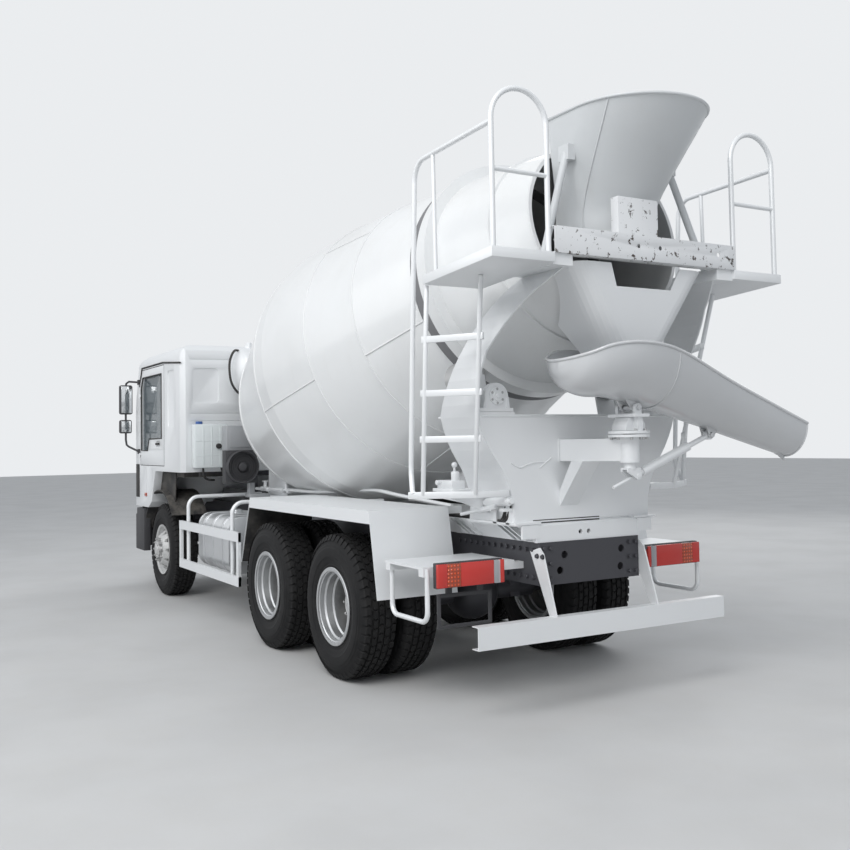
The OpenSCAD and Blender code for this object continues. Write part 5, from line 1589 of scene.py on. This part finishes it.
@dataclass
class Pedestal:
    """What is bolted or welded to the rear pedestal: roller castings, controls, gussets, beads and bolts."""

    rear: float = -3.35
    top: float = 1.915
    pivot_x: float = -3.82

    def build(self, repeats: Repeats) -> None:
        """Builds the pieces on the pedestal."""
        self.castings(repeats)
        self.controls()
        self.gussets()
        self.swivel(repeats)
        self.beads(repeats)

    def castings(self, repeats: Repeats) -> None:
        """Builds the domed roller brackets and their base plates, with bolts."""
        parts, marks = [], []
        for s in (1, -1):
            x0, x1 = self.rear + 0.015, self.rear + 0.065
            dome = arc((s * 0.69, 2.03), 0.092, 0, 180, 14)
            outline = [(s * 0.795 if s > 0 else -0.585, self.top + 0.04)] + dome + [
                (0.585 if s > 0 else -0.795, self.top + 0.04)]
            parts.append(plate_yz(outline, x0, x1))
            parts.append(block(*on_side(s, (x0 - 0.01, 0.565, self.top + 0.018),
                                        (x1 + 0.19, 0.83, self.top + 0.042))))
            parts.append(block(*on_side(s, (x0 - 0.015, 0.56, self.top), (x1 + 0.21, 0.835, self.top + 0.016))))
            boss = Shape()
            for radius, depth in ((0.058, 0.012), (0.034, 0.02), (0.016, 0.026)):
                boss.lathe(lathed((0.001, radius), (-depth + 0.003, radius), (-depth, radius - 0.003)),
                           (x0, s * 0.69, 2.035), AHEAD, 28, False)
            for y in (0.606, 0.774):
                boss.box((x0 - 0.006, s * y - 0.008, self.top + 0.042), (x0 + 0.001, s * y + 0.008, 2.03))
            parts.append(boss.piece("boss", smooth=35))
            marks += [((x0 - 0.001, s * 0.69 + 0.046 * math.cos(a), 2.035 + 0.046 * math.sin(a)), (-1, 0, 0))
                      for a in (0.5, 1.55, 2.6, 3.65, 4.7, 5.75)]
            marks += [((x, s * y, self.top + 0.0415), UP) for y in (0.585, 0.81) for x in (x0 + 0.03, x0 + 0.17)]
        for made in parts:
            made.data.materials.append(Finishes.WHITE.material)
        ride(join(parts, "roller_castings"), Body.CHASSIS)
        ride(repeats.mark_points("roller_bolts", marks, hex_bolt(0.017, 0.010), Finishes.STEEL), Body.CHASSIS)

    def controls(self) -> None:
        """Builds the control lever, its box and the linkage rods."""
        x, y = -3.02, 0.86
        shape = Shape()
        shape.box((x - 0.14, y - 0.07, 1.41), (x + 0.12, y + 0.07, 1.432))
        shape.box((x - 0.10, y - 0.05, 1.432), (x + 0.03, y + 0.05, 1.485))
        shape.box((x + 0.035, y - 0.04, 1.432), (x + 0.10, y + 0.045, 1.465))
        shape.lathe(lathed((0, 0.028), (0.06, 0.028), (0.066, 0.02)), (x - 0.06, y, 1.48), UP, 18, False)
        shape.lathe(rod(-0.07, 0.07, 0.017), (x + 0.07, y, 1.47), LEFT, 14, False)
        shape.tube([(x - 0.05, y, 1.52), (x - 0.052, y, 1.575)], 0.008, 10)
        shape.lathe([(-0.020, 0), (-0.017, 0.011), (-0.010, 0.0175), (0, 0.020), (0.010, 0.0175), (0.017, 0.011),
                     (0.020, 0)], (x - 0.052, y, 1.588), UP, 16, False)
        box = shape.piece("box", Finishes.WHITE, bevel=0.003)
        rods = Shape()
        rods.tube([(-2.46, 0.61, 1.345), (-2.93, 0.61, 1.312)], 0.012, 10)
        rods.tube([(-2.90, 0.61, 1.314), (-3.10, 0.61, 1.33)], 0.022, 14)
        rods.tube([(-3.08, 0.61, 1.328), (-3.34, 0.61, 1.348)], 0.030, 16)
        rods.tube([(-3.33, 0.61, 1.347), (-3.37, 0.61, 1.350)], 0.018, 12)
        rods.tube([(-2.78, 0.63, 1.235), (-3.00, 0.63, 1.272), (-3.02, 0.63, 1.275)], 0.012, 10)
        rods.tube([(-3.00, 0.63, 1.272), (-3.22, 0.63, 1.308)], 0.019, 12)
        for bx in (-3.15, -3.30):
            rods.box((bx - 0.02, 0.575, 1.193), (bx + 0.02, 0.60, 1.36))
            rods.box((bx - 0.026, 0.575, 1.28), (bx + 0.026, 0.645, 1.30))
        rods.tube(smooth_path([(x - 0.02, y + 0.03, 1.44), (-2.90, 0.82, 1.40), (-2.70, 0.72, 1.36),
                               (-2.46, 0.62, 1.345)]), 0.008, 8)
        ride(join([box, rods.piece("rods", Finishes.WHITE, bevel=0.0)], "control_gear"), Body.CHASSIS)
        hoses = Shape()
        for k in range(3):
            d = 0.025 * k
            hoses.tube(smooth_path([(-3.32 + d, 0.585, 1.32), (-3.28 + d, 0.60, 1.22),
                                    (-3.10 + d, 0.56, 1.205 + d / 3), (-2.70, 0.50 + d, 1.20 + d / 2),
                                    (-2.30, 0.47 + d, 1.195)]), 0.009, 8)
        ride(hoses.piece("control_hoses", Finishes.SEAL), Body.CHASSIS)

    def gussets(self) -> None:
        """Builds the slanted gussets of the mixer's frame and the plates over its rear end."""
        parts = []
        for s in (1, -1):
            for x0 in (-2.35, -2.42, -2.49, -2.93, -3.00, -3.07):
                outline = [(x0, 1.178), (x0 - 0.02, 1.178), (x0 - 0.255, 1.078), (x0 - 0.235, 1.078)]
                lo, hi = span(s, 0.4253, 0.468)
                parts.append(plate_xz(outline, lo, hi))
            parts.append(block(*on_side(s, (-3.405, 0.425, 1.10), (-3.385, 0.555, 1.188))))
            parts.append(plate_xz([(-3.40, 1.192), (-2.82, 1.192), (-2.82, 1.204), (-3.40, 1.204)],
                                  *span(s, 0.40, 0.60)))
        for made in parts:
            made.data.materials.append(Finishes.WHITE.material)
        ride(join(parts, "frame_gussets"), Body.CHASSIS)

    def swivel(self, repeats: Repeats) -> None:
        """Builds the tapered post on the swivel's upper flange, and the bolts of both flanges."""
        p = self.pivot_x
        post = Solid(plate_yz([(-0.085, 1.7925), (0.085, 1.7925), (0.080, 1.835), (0.050, 1.8795), (-0.050, 1.8795),
                               (-0.080, 1.84)], p - 0.068, p + 0.068)).finished("swivel_post", Finishes.WHITE, 0.006)
        ride(post, Body.ARM)
        marks = [((p + 0.116 * math.cos(a), 0.116 * math.sin(a), 1.7915), UP) for a in (0.35, 2.79, 3.49, 5.93)]
        ride(repeats.mark_points("swivel_bolts", marks, hex_bolt(0.018, 0.011), Finishes.STEEL), Body.ARM)
        below = [((p + 0.113 * math.cos(math.tau * k / 8 + 0.2), 0.113 * math.sin(math.tau * k / 8 + 0.2), 1.7525),
                  (0, 0, -1)) for k in range(8)]
        ride(repeats.mark_points("flange_bolts", below, hex_bolt(0.018, 0.014), Finishes.STEEL), Body.CHASSIS)

    def beads(self, repeats: Repeats) -> None:
        """Lays the weld beads, the torn edge of the pedestal's rear face, and a black strip that paints the shadow
        gap under its foot.
        """
        x = self.rear - 0.001
        crease = [(x, 0.597, 1.597), (x, 0.56, 1.575), (x, 0.526, 1.562), (x, 0.47, 1.582), (x, 0.412, 1.596),
                  (x, 0.330, 1.597)]
        flap = [(x, 0.271, 1.622), (x, 0.32, 1.59), (x, 0.368, 1.558)]
        line = [(x, 0.565, 1.205), (x, -0.565, 1.205)]
        top = [(x, -0.82, 1.902), (x, 0.82, 1.902)]
        around = [(x, 0.205, 1.748), (x, -0.205, 1.748), (x, -0.205, 1.597), (x, 0.205, 1.597), (x, 0.205, 1.748)]
        # Thin black strip under the pedestal's foot: painted shadow for the gap between the pedestal plate and the
        # subframe's cross beam.
        gap = Shape().box((x - 0.0015, -0.13, 1.187), (x + 0.001, 0.43, 1.216))
        ride(gap.piece("packing_strip", Finishes.SEAL), Body.CHASSIS)
        ride(repeats.weld("pedestal_beads", [crease, flap, line, top, around], 0.0055, Finishes.WHITE, 0.016, 0.4),
             Body.CHASSIS)


@dataclass
class WaterTank:
    """The water tank with domed ends, its straps, sight hose and filler valve."""

    x: float = 1.69
    z: float = 2.56
    radius: float = 0.25
    half: float = 0.74

    def build(self) -> None:
        """Builds the tank in place of the plain one."""
        dome = [(self.half - 0.11 + 0.11 * math.sin(a), self.radius * math.cos(a))
                for a in (math.pi / 2 * k / 8 for k in range(9))]
        profile = [(-y, r) for y, r in reversed(dome)] + dome
        shape = Shape().lathe(profile, (self.x, 0, self.z), LEFT, 64, False)
        for y in (-0.36, 0.36):
            shape.lathe([(y - 0.022, self.radius - 0.002), (y - 0.022, self.radius + 0.004),
                         (y + 0.022, self.radius + 0.004), (y + 0.022, self.radius - 0.002)], (self.x, 0, self.z),
                        LEFT, 64)
        for s in (1, -1):
            shape.box(*on_side(s, (1.60, 0.3373, 1.70), (1.66, 0.38, 2.33)))
            shape.box(*on_side(s, (1.52, 0.33, 2.30), (1.86, 0.39, 2.345)))
        shape.lathe(lathed((0.24, 0.045), (0.285, 0.045), (0.285, 0.03), (0.31, 0.03)), (self.x, 0.55, self.z), UP,
                    20, False)
        ride(shape.piece("water_tank_dressed", Finishes.WHITE, 35), Body.CHASSIS, ("water_tank",))
        hose = Shape().tube(smooth_path([(self.x - 0.02, 0.66, 2.775), (self.x - 0.04, 0.735, 2.77),
                                         (self.x - 0.05, 0.79, 2.64), (self.x - 0.05, 0.775, 2.44),
                                         (self.x - 0.03, 0.69, 2.32), (self.x, 0.60, 2.31)]), 0.013, 10)
        ride(hose.piece("sight_hose", Finishes.SEAL), Body.CHASSIS)


@dataclass
class OilCooler:
    """The oil cooler: a grey case over a dark fan in its shroud."""

    x: float = 1.48

    def build(self) -> None:
        """Builds the cooler in place of the plain one."""
        x = self.x
        shape = Shape()
        shape.box((x + 0.03, 0.58, 1.69), (x + 0.20, 0.87, 1.955))
        shape.box((x + 0.02, 0.60, 1.72), (x + 0.03, 0.85, 1.93))
        shape.box((x + 0.04, 0.56, 1.21), (x + 0.12, 0.62, 1.70))
        shape.box((x, 0.4003, 1.18), (x + 0.18, 0.62, 1.22))
        ride(shape.piece("oil_cooler_dressed", Finishes.GREY, bevel=0.008), Body.CHASSIS,
             ("oil_cooler",))
        c = (x, 0.715, 1.515)
        dark = Shape()
        dark.lathe([(0.02, 0.165), (0.02, 0.175), (-0.05, 0.175), (-0.055, 0.168), (-0.05, 0.160), (0.015, 0.158)], c,
                   AHEAD, 40)
        dark.box((x + 0.02, 0.54, 1.34), (x + 0.13, 0.89, 1.69))
        dark.lathe(lathed((0.02, 0.05), (-0.035, 0.05), (-0.045, 0.035)), c, AHEAD, 24, False)
        for radius in (0.075, 0.10, 0.125, 0.15):
            dark.lathe([(-0.052, radius - 0.0025), (-0.047, radius - 0.0025), (-0.047, radius + 0.0025),
                        (-0.052, radius + 0.0025)], c, AHEAD, 32)
        ride(dark.piece("cooler_fan", Finishes.PLASTIC, bevel=0.0015), Body.CHASSIS)


@dataclass
class SideGuards:
    """The side guards: welded frames on bent tubes."""

    y: float = 1.24

    def build(self) -> None:
        """Builds both guards in place of the plain ones."""
        shape = Shape()
        for s in (1, -1):
            for z in (0.44, 0.85):
                shape.box(*on_side(s, (0.13, self.y - 0.03, z), (2.03, self.y, z + 0.09)))
            for x in (0.13, 1.97):
                shape.box(*on_side(s, (x, self.y - 0.029, 0.441), (x + 0.06, self.y - 0.002, 0.939)))
            for x in (0.43, 1.85):
                bend = arc((self.y - 0.05 - 0.11, 1.2 - 0.11), 0.11, 0, 90, 8)
                path = [(x, s * (self.y - 0.05), 0.46)] + [(x, s * y, z) for y, z in bend] + [(x, s * 0.36, 1.20)]
                shape.tube(path, 0.020, 12)
        ride(shape.piece("side_guards_dressed", Finishes.WHITE, bevel=0.0), Body.CHASSIS,
             ("side_guards",))


@dataclass
class FuelTank:
    """The fuel tank: a rounded box with straps, steps and a filler."""

    x: Spot = (0.80, 1.78)
    y: Spot = (0.48, 1.10)
    z: Spot = (0.47, 1.03)

    def build(self) -> None:
        """Builds the tank in place of the plain one."""
        ring = rounded((self.y[0], self.z[0]), (self.y[1], self.z[1]), 0.13, 6)
        shape = Shape().prism([(self.x[0], y, z) for y, z in ring], (self.x[1] - self.x[0], 0, 0))
        for x in (self.x[0] + 0.004, self.x[1] - 0.012):
            big = rounded((self.y[0] - 0.004, self.z[0] - 0.004), (self.y[1] + 0.004, self.z[1] + 0.004), 0.134, 6)
            shape.prism([(x, y, z) for y, z in big], (0.008, 0, 0))
        for x in (0.98, 1.29, 1.58):
            big = rounded((self.y[0] - 0.008, self.z[0] - 0.008), (self.y[1] + 0.008, self.z[1] + 0.008), 0.138, 6)
            shape.prism([(x, y, z) for y, z in big], (0.045, 0, 0))
            shape.box((x, 0.425, 0.79), (x + 0.05, 0.49, 1.04))
        shape.lathe(lathed((0, 0.062), (0.035, 0.062), (0.045, 0.05)), (1.45, 0.80, 1.025), UP, 24, False)
        ride(shape.piece("fuel_tank_dressed", Finishes.ALUMINIUM, 35, 0.002), Body.CHASSIS,
             ("fuel_tank",))


@dataclass
class Bumper:
    """The front bumper: corners rounded in plan, with lamp pockets and a grille."""

    front: float = 4.42
    half: float = 1.21

    def build(self) -> None:
        """Builds the bumper in place of the plain one."""
        plan = ([(3.65, -self.half), (3.65, self.half)] + arc((self.front - 0.42, self.half - 0.42), 0.42, 90, 0, 10)
                + arc((self.front - 0.42, -self.half + 0.42), 0.42, 0, -90, 10))
        core = [(3.60, -1.13), (3.60, 1.13)] + arc((4.34 - 0.38, 1.13 - 0.38), 0.38, 90, 0, 10) + arc(
            (4.34 - 0.38, -0.75), 0.38, 0, -90, 10)
        made = Solid(plate_xy(plan, 0.47, 0.90)).plus(
            *[block(*on_side(s, (3.65, 1.14, 0.88), (4.00, self.half, 0.985))) for s in (1, -1)])
        made.less(plate_xy(core, 0.40, 0.99))
        for s in (1, -1):
            made.less(block(*on_side(s, (4.38, 0.43, 0.56), (4.45, 0.73, 0.76))))
        made.less(*[block((4.35, -0.36, z), (4.45, 0.36, z + 0.03)) for z in (0.54, 0.60, 0.66, 0.72)])
        bumper = made.finished("bumper_skin", Finishes.PLASTIC, 0.008)
        inner = Shape()
        for s in (1, -1):
            inner.box(*on_side(s, (4.13, 0.290, 0.81), (4.35, 0.368, 0.88)))
        # Black panel behind the gap over the bumper: partly a filler panel, partly painted shade that makes the gap
        # read as a shadow gap.
        inner.box((4.15, -1.10, 0.879), (4.165, 1.10, 0.985))
        ride(join([bumper, inner.piece("carrier", Finishes.PLASTIC)], "bumper_dressed"), Body.CHASSIS,
             ("bumper",))
        lamps = [Shape().box(*on_side(s, (4.372, 0.432, 0.562), (4.416, 0.728, 0.758))).piece("lamp",
                     Finishes.LENS_CLEAR, bevel=0.008) for s in (1, -1)]
        ride(join(lamps, "headlamps_dressed"), Body.CHASSIS, ("headlamps",))


@dataclass
class FrontRims:
    """The front rims, whose discs stand out past the tyres."""

    def build(self) -> None:
        """Builds both rims in place of the plain ones."""
        for side, s in SIDES:
            profile = [(0.172, 0.0451), (0.172, 0.155), (0.165, 0.168), (0.075, 0.235), (0.098, 0.240),
                       (0.118, 0.262), (0.126, 0.262), (0.138, 0.272), (0.142, 0.290), (0.130, 0.290),
                       (0.118, 0.2719), (0.090, 0.2717), (0.075, 0.255), (-0.075, 0.255), (-0.09, 0.2717),
                       (-0.118, 0.2717), (-0.130, 0.290), (-0.142, 0.290), (-0.142, 0.262), (-0.105, 0.240),
                       (0.046, 0.240), (0.142, 0.158), (0.150, 0.145), (0.150, 0.0451)]
            rim = Solid(Shape().lathe(profile, (0, 0, 0), LEFT, 72).piece("rim", smooth=None))
            for k in range(10):
                a = math.tau * (k + 0.5) / 10
                hole = Shape().lathe(
                    rod(0.05, 0.19, 0.024), (0.200 * math.sin(a), 0, 0.200 * math.cos(a)), LEFT, 16, False)
                rim.less(hole.piece("hole", smooth=None))
            rim.plus(Shape().lathe([(-0.07, 0.0451), (-0.07, 0.095), (0.205, 0.095), (0.205, 0), (0.187, 0),
                                    (0.187, 0.0451)], (0, 0, 0), LEFT, 40).piece("hub", smooth=None))
            made = rim.finished(f"rim_front_{side}_dressed", Finishes.RIM, 0.0015, 40)
            made.data.transform(Matrix.Translation((Wheels.front_x, s * Wheels.front_y,
                                                    Wheels.axle_z)) @ Matrix.Scale(s, 4, LEFT))
            if s < 0:
                made.data.flip_normals()
            ride(made, f"wheel_front_{side}", (f"rim_front_{side}",))


@dataclass
class ChassisBolts:
    """Rows of bolts on the frame, the underrun arms and the platforms."""

    def build(self, repeats: Repeats) -> None:
        """Builds the rows."""
        marks: list[tuple[Point, Point]] = []
        for s in (1, -1):
            marks += [((x, s * 0.4252, z), (0, s, 0)) for x in [-3.34 + 0.075 * k for k in range(13)]
                      for z in (0.84, 1.02)]
            marks += [((x, s * 0.4252, z), (0, s, 0)) for x in (0.35, 0.62, 0.95, 1.25, 1.95, 2.05)
                      for z in (0.85, 1.0)]
            marks += [((-3.4583 + 0.03 * k, s * 0.4372, 0.985), (0, s, 0)) for k in (0, 2)]
            marks += [((-3.4085, s * y, z), (-1, 0, 0)) for y in (0.395, 0.34) for z in (0.83, 0.93, 1.03)]
        ride(repeats.mark_points("frame_bolts", marks, hex_bolt(0.024, 0.013), Finishes.FRAME), Body.CHASSIS)


@dataclass
class Platforms:
    """The two platforms with their cross beam, hand rails and the ladders at their front edges."""

    x: Spot = (-4.06, -3.272)
    y: Spot = (0.745, 1.195)
    low: float = 2.790
    slope_deg: float = 3.5
    rim: float = 0.06
    sheet: float = 0.006
    loop_x: float = -4.03
    loop_y: Spot = (0.77, 1.165)
    loop_z: float = 3.60
    rail_r: float = 0.017
    post_r: float = 0.014

    def deck(self, x: float) -> float:
        """Height of the platform's underside at x."""
        return self.low - (x - self.x[0]) * math.tan(math.radians(self.slope_deg))

    def tray(self, s: int) -> Thing:
        """One platform as a tray with an upstanding rim."""
        (a, b), t = self.x, self.sheet
        lo, hi = span(s, self.y[0], self.y[1])
        outer = [(a, self.deck(a)), (b, self.deck(b)), (b, self.deck(b) + self.rim), (a, self.deck(a) + self.rim)]
        inner = [(a + t, self.deck(a) + t), (b - t, self.deck(b) + t), (b - t, self.deck(b) + 0.1),
                 (a + t, self.deck(a) + 0.1)]
        return Solid(plate_xz(outer, lo, hi)).less(
            plate_xz(inner, lo + t, hi - t)).finished("tray", Finishes.WHITE, 0.0015)

    def beam(self) -> Thing:
        """The cross beam and the box post on it, in flaking paint."""
        a, half = self.x[0], self.y[0]
        made = Solid(block((a, -half, 2.85), (a + 0.08, half, 3.01))).plus(
            block((a + 0.002, -0.075, 3.0), (a + 0.07, 0.25, 3.24)))
        made.less(block((a + 0.006, -half - 0.01, 2.856), (a + 0.09, half + 0.01, 3.004)))
        for y in (-0.6, -0.09, 0.09):
            hole = Shape().lathe(rod(-0.01, 0.02, 0.014), (a, y, 2.94), AHEAD, 16, False)
            made.less(hole.piece("hole", smooth=None))
        return made.finished("beam", Finishes.BEAM, 0.003)

    def rails(self, s: int) -> Thing:
        """The loop, the top rail that bends down to the ladder's foot, the post and the cross rail."""
        (inner, outer), x, z = self.loop_y, self.loop_x, self.loop_z
        half = (outer - inner) / 2
        foot = self.deck(x) + self.sheet
        arch = [(x, s * ((inner + outer) / 2 + half * math.cos(a)), z + half * math.sin(a))
                for a in (math.pi * k / 20 for k in range(21))]
        shape = Shape()
        shape.tube([(x, s * outer, foot)] + arch + [(x, s * inner, foot)], self.rail_r, 14)
        corner = [(-3.26 + 0.125 * math.sin(a), s * outer, 3.42 + 0.14 * math.cos(a))
                  for a in (math.pi / 2 * k / 8 for k in range(9))]
        shape.tube([(x, s * outer, 3.58)] + corner + [(-3.03, s * outer, 1.60), (-3.028, s * outer, 1.54),
                                                      (-3.075, s * (outer + 0.02), 1.43),
                                                      (-3.10, s * (outer + 0.025), 1.405)], self.rail_r, 14)
        shape.tube([(x, s * inner, 3.305), (x, s * outer, 3.305)], self.post_r, 10)
        shape.tube([(-3.375, s * outer, 3.56), (-3.388, s * outer, self.deck(-3.388) + self.sheet)], self.post_r, 10)
        return shape.piece("rails", Finishes.WHITE, 45)

    def ladder(self, s: int) -> Thing:
        """One ladder, at an angle between platform and pedestal: two posts, three rungs and the foot's bar."""
        shape = Shape()
        outer_top, outer_foot = Vector((-3.26, 1.160, self.deck(-3.26) - 0.0005)), Vector((-3.13, 1.137, 1.40))
        inner_top, inner_foot = Vector((-3.63, 0.990, self.deck(-3.63) - 0.0005)), Vector((-3.32, 0.860, 1.40))
        side = Vector((1, s, 1))
        for top, foot in ((outer_top, outer_foot), (inner_top, inner_foot)):
            shape.tube([top * side, foot * side], 0.016, 12)
        for z in (2.375, 2.032, 1.738):
            a, b = (top.lerp(foot, (top.z - z) / (top.z - foot.z)) for top, foot in ((outer_top, outer_foot),
                        (inner_top, inner_foot)))
            self.bar(shape, a + (a - b).normalized() * 0.025, b + (b - a).normalized() * 0.03, 0.042, s)
        self.bar(shape, Vector((-3.075, 1.215, 1.378)), Vector((-3.325, 0.852, 1.378)), 0.044, s)
        self.bar(shape, Vector((-3.318, 0.868, 1.379)), Vector((-3.333, 0.612, 1.379)), 0.042, s)
        return shape.piece("ladder", Finishes.WHITE, bevel=0.002)

    @staticmethod
    def bar(shape: Shape, a: Vector, b: Vector, height: float, s: int) -> None:
        """Adds a level flat bar between two points.

        Args:
            shape: Shape that gains the bar.
            a: One end, at the bar's underside on the left side.
            b: The other end.
            height: Height of the bar.
            s: 1 on the left, -1 on the right.
        """
        along = b - a
        along.z = 0.0
        across = Vector((-along.y, along.x, 0.0)).normalized() * 0.014
        section = [a - across, a + across, a + across + Vector((0, 0, height)), a - across + Vector((0, 0, height))]
        side = Vector((1, s, 1))
        shape.prism([tuple(p * side) for p in section], tuple(along * side))

    def build(self) -> None:
        """Builds both sides in place of the plain ones."""
        trays = [self.tray(s) for s in (1, -1)]
        ride(join([self.beam(), *trays], "platforms_dressed"), Body.CHASSIS, ("platforms",))
        rails = [make(s) for s in (1, -1) for make in (self.rails, self.ladder)]
        ride(join(rails, "handrails_dressed"), Body.CHASSIS, ("handrails",))
        pipe = Shape().tube(smooth_path([(1.82, 0.43, 1.262), (0.95, 0.43, 1.275), (0.1, 0.43, 1.282),
                                         (-0.8, 0.43, 1.325), (-1.15, 0.43, 1.335), (-1.5, 0.43, 1.31),
                                         (-2.35, 0.44, 1.262)]), 0.0165, 12)
        for x in (1.62, 1.48, 1.02, 0.86):
            pipe.lathe(rod(-0.03, 0.03, 0.027), (x, 0.43, 1.266), AHEAD, 12, False)
        for x in (1.55, 0.94):
            pipe.lathe(lathed((0, 0.018), (0.07, 0.018), (0.075, 0.035), (0.085, 0.035)), (x, 0.43, 1.27), UP, 12,
                       False)
        ride(pipe.piece("water_pipe", Finishes.WHITE), Body.CHASSIS)


@dataclass
class TwinRims:
    """The rims of the twin wheels: stepped barrels round a disc painted near black as painted shade for the shadow
    inside the deep rim, and the hub.
    """

    barrel: tuple[Spot, ...] = (
        (0.312, 0.262), (0.312, 0.286), (0.308, 0.290), (0.300, 0.290), (0.288, 0.2719), (0.260, 0.2717),
        (0.245, 0.255), (0.095, 0.255), (0.080, 0.2717), (0.052, 0.2717), (0.040, 0.290), (0.028, 0.290),
        (0.028, 0.262), (0.065, 0.240), (0.086, 0.223), (0.190, 0.225), (0.200, 0.237), (0.250, 0.240),
        (0.262, 0.251), (0.296, 0.254), (0.302, 0.262))
    disc: tuple[Spot, ...] = (
        (0.100, 0.0451), (0.100, 0.150), (0.084, 0.196), (0.082, 0.2245), (0.094, 0.2245), (0.097, 0.198),
        (0.112, 0.152), (0.112, 0.0451))
    hub: tuple[Spot, ...] = ((-0.15, 0.0451), (-0.15, 0.11), (0.152, 0.11), (0.152, 0), (0.134, 0), (0.134, 0.0451))

    def wheel(self) -> Thing:
        """The outer wheel of a pair, centred on the pair's middle."""
        barrel = Shape().lathe(self.barrel, (0, 0, 0), LEFT, 72).piece("barrel", Finishes.BARREL, 30)
        disc = Solid(Shape().lathe(self.disc, (0, 0, 0), LEFT, 60).piece("disc", smooth=None))
        for k in range(10):
            a = math.tau * (k + 0.5) / 10
            hole = Shape().lathe(
                rod(0.05, 0.15, 0.023), (0.183 * math.sin(a), 0, 0.183 * math.cos(a)), LEFT, 16, False)
            disc.less(hole.piece("hole", smooth=None))
        return join([barrel, disc.finished("disc", Finishes.DISC, 0.001, 35)], "wheel_pattern")

    def build(self) -> None:
        """Builds the rims of all four twin wheels."""
        wheel = self.wheel()
        for side, s in SIDES:
            for place, x in (("mid", -0.55), ("rear", -1.9)):
                outer = Shape.wrap("outer", wheel.data.copy())
                inner = Shape.wrap("inner", wheel.data.copy())
                inner.data.transform(Matrix.Scale(-1, 4, LEFT))
                inner.data.flip_normals()
                hub = Shape().lathe(self.hub, (0, 0, 0), LEFT, 48, False).piece("hub", Finishes.CAST, 35)
                made = join([outer, inner, hub], f"rims_{place}_{side}_dressed")
                made.data.transform(Matrix.Translation((x, s * Wheels.twin_y, Wheels.axle_z)) @ Matrix.Scale(s, 4,
                                        LEFT))
                if s < 0:
                    made.data.flip_normals()
                ride(made, f"wheels_{place}_{side}", (f"rims_{place}_{side}",))


@dataclass
class WheelHouses:
    """A black lining under the twin wheels' fenders: a dark sheet that paints the shade on the fenders' inner faces.
    """

    rear: float = -2.551
    front: float = -0.194
    top: float = 1.2665

    def build(self) -> None:
        """Builds both linings."""
        r, f, t = self.rear, self.front, self.top
        parts = []
        for s in (1, -1):
            lo, hi = span(s, 0.605, 1.234)
            # Black sheets inside the fenders: painted shade for the shaded inner faces.
            parts.append(plate_xz([(r - 0.1045, 0.682), (r + 0.0055, t), (f - 0.0055, t), (f + 0.2345, 0.682),
                                   (f + 0.2315, 0.682), (f - 0.008, t - 0.003), (r + 0.008, t - 0.003),
                                   (r - 0.1015, 0.682)], lo, hi))
        for made in parts:
            made.data.materials.append(Finishes.LINER_AND_PAINTED_SHADE.material)
        ride(join(parts, "fender_linings"), Body.CHASSIS)


NODE_FINISHES: dict[Finishes, tuple[str, ...]] = {
    Finishes.WHITE: ("subframe", "side_guards", "fenders", "rear_steps", "underrun_guard", "front_pedestal",
                     "rear_pedestal", "platforms", "handrails", "collecting_funnel", "water_tank", "cab_shell",
                     "door_left", "door_right", "chute_arm", "jack_barrel", "jack_rod"),
    Finishes.DRUM: ("drum_shell", "drum_neck"),
    Finishes.CHUTE: ("chute",),
    Finishes.HOPPER: ("charge_hopper",),
    Finishes.FRAME: ("frame", "front_axle", "drive_axles", "knuckle_left", "knuckle_right", "tie_rod"),
    Finishes.CAST: ("engine", "drum_drive"),
    Finishes.STEEL: ("exhaust", "roller_left", "roller_right"),
    Finishes.ALUMINIUM: ("fuel_tank",),
    Finishes.PLASTIC: ("battery_box", "bumper", "dashboard", "mirrors", "cab_trim"),
    Finishes.GREY: ("oil_cooler",),
    Finishes.MILKY: ("expansion_tank",),
    Finishes.LENS_RED: ("tail_lamps",),
    Finishes.LENS_CLEAR: ("headlamps",),
    Finishes.GLASS: ("cab_glass", "door_glass_left", "door_glass_right"),
    Finishes.SEAT: ("seats",),
    Finishes.RIM: ("rim_front_left", "rim_front_right", "rims_mid_left", "rims_mid_right", "rims_rear_left",
                   "rims_rear_right"),
    Finishes.SEAL: ("tyre_front_left", "tyre_front_right", "tyres_mid_left", "tyres_mid_right", "tyres_rear_left",
                    "tyres_rear_right"),
}


def dress_nodes(nodes: dict[str, Thing]) -> None:
    """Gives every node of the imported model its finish.

    Args:
        nodes: The nodes by name.
    """
    left = set(nodes)
    for finish, names in NODE_FINISHES.items():
        for name in names:
            nodes[name].data.materials.clear()
            nodes[name].data.materials.append(finish.material)
            left.discard(name)
    log.info("nodes with no finish: %s", sorted(left))


def main() -> None:
    """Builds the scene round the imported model."""
    logging.basicConfig(level=logging.INFO, format="%(message)s")
    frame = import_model()
    Stage().build()
    dress_nodes(frame["nodes"])
    repeats = Repeats()
    Drum().build(repeats)
    Wheels().build(repeats)
    TailLamps().build()
    Cab().build()
    Chute().build(repeats)
    Hopper().build(repeats)
    Pedestal().build(repeats)
    WaterTank().build()
    OilCooler().build()
    SideGuards().build()
    FuelTank().build()
    Bumper().build()
    FrontRims().build()
    ChassisBolts().build(repeats)
    Platforms().build()
    TwinRims().build()
    WheelHouses().build()
    for leftover in [o for o in bpy.data.objects if "_pattern" in o.name]:
        bpy.data.objects.remove(leftover)


if __name__ == "__main__":
    main()
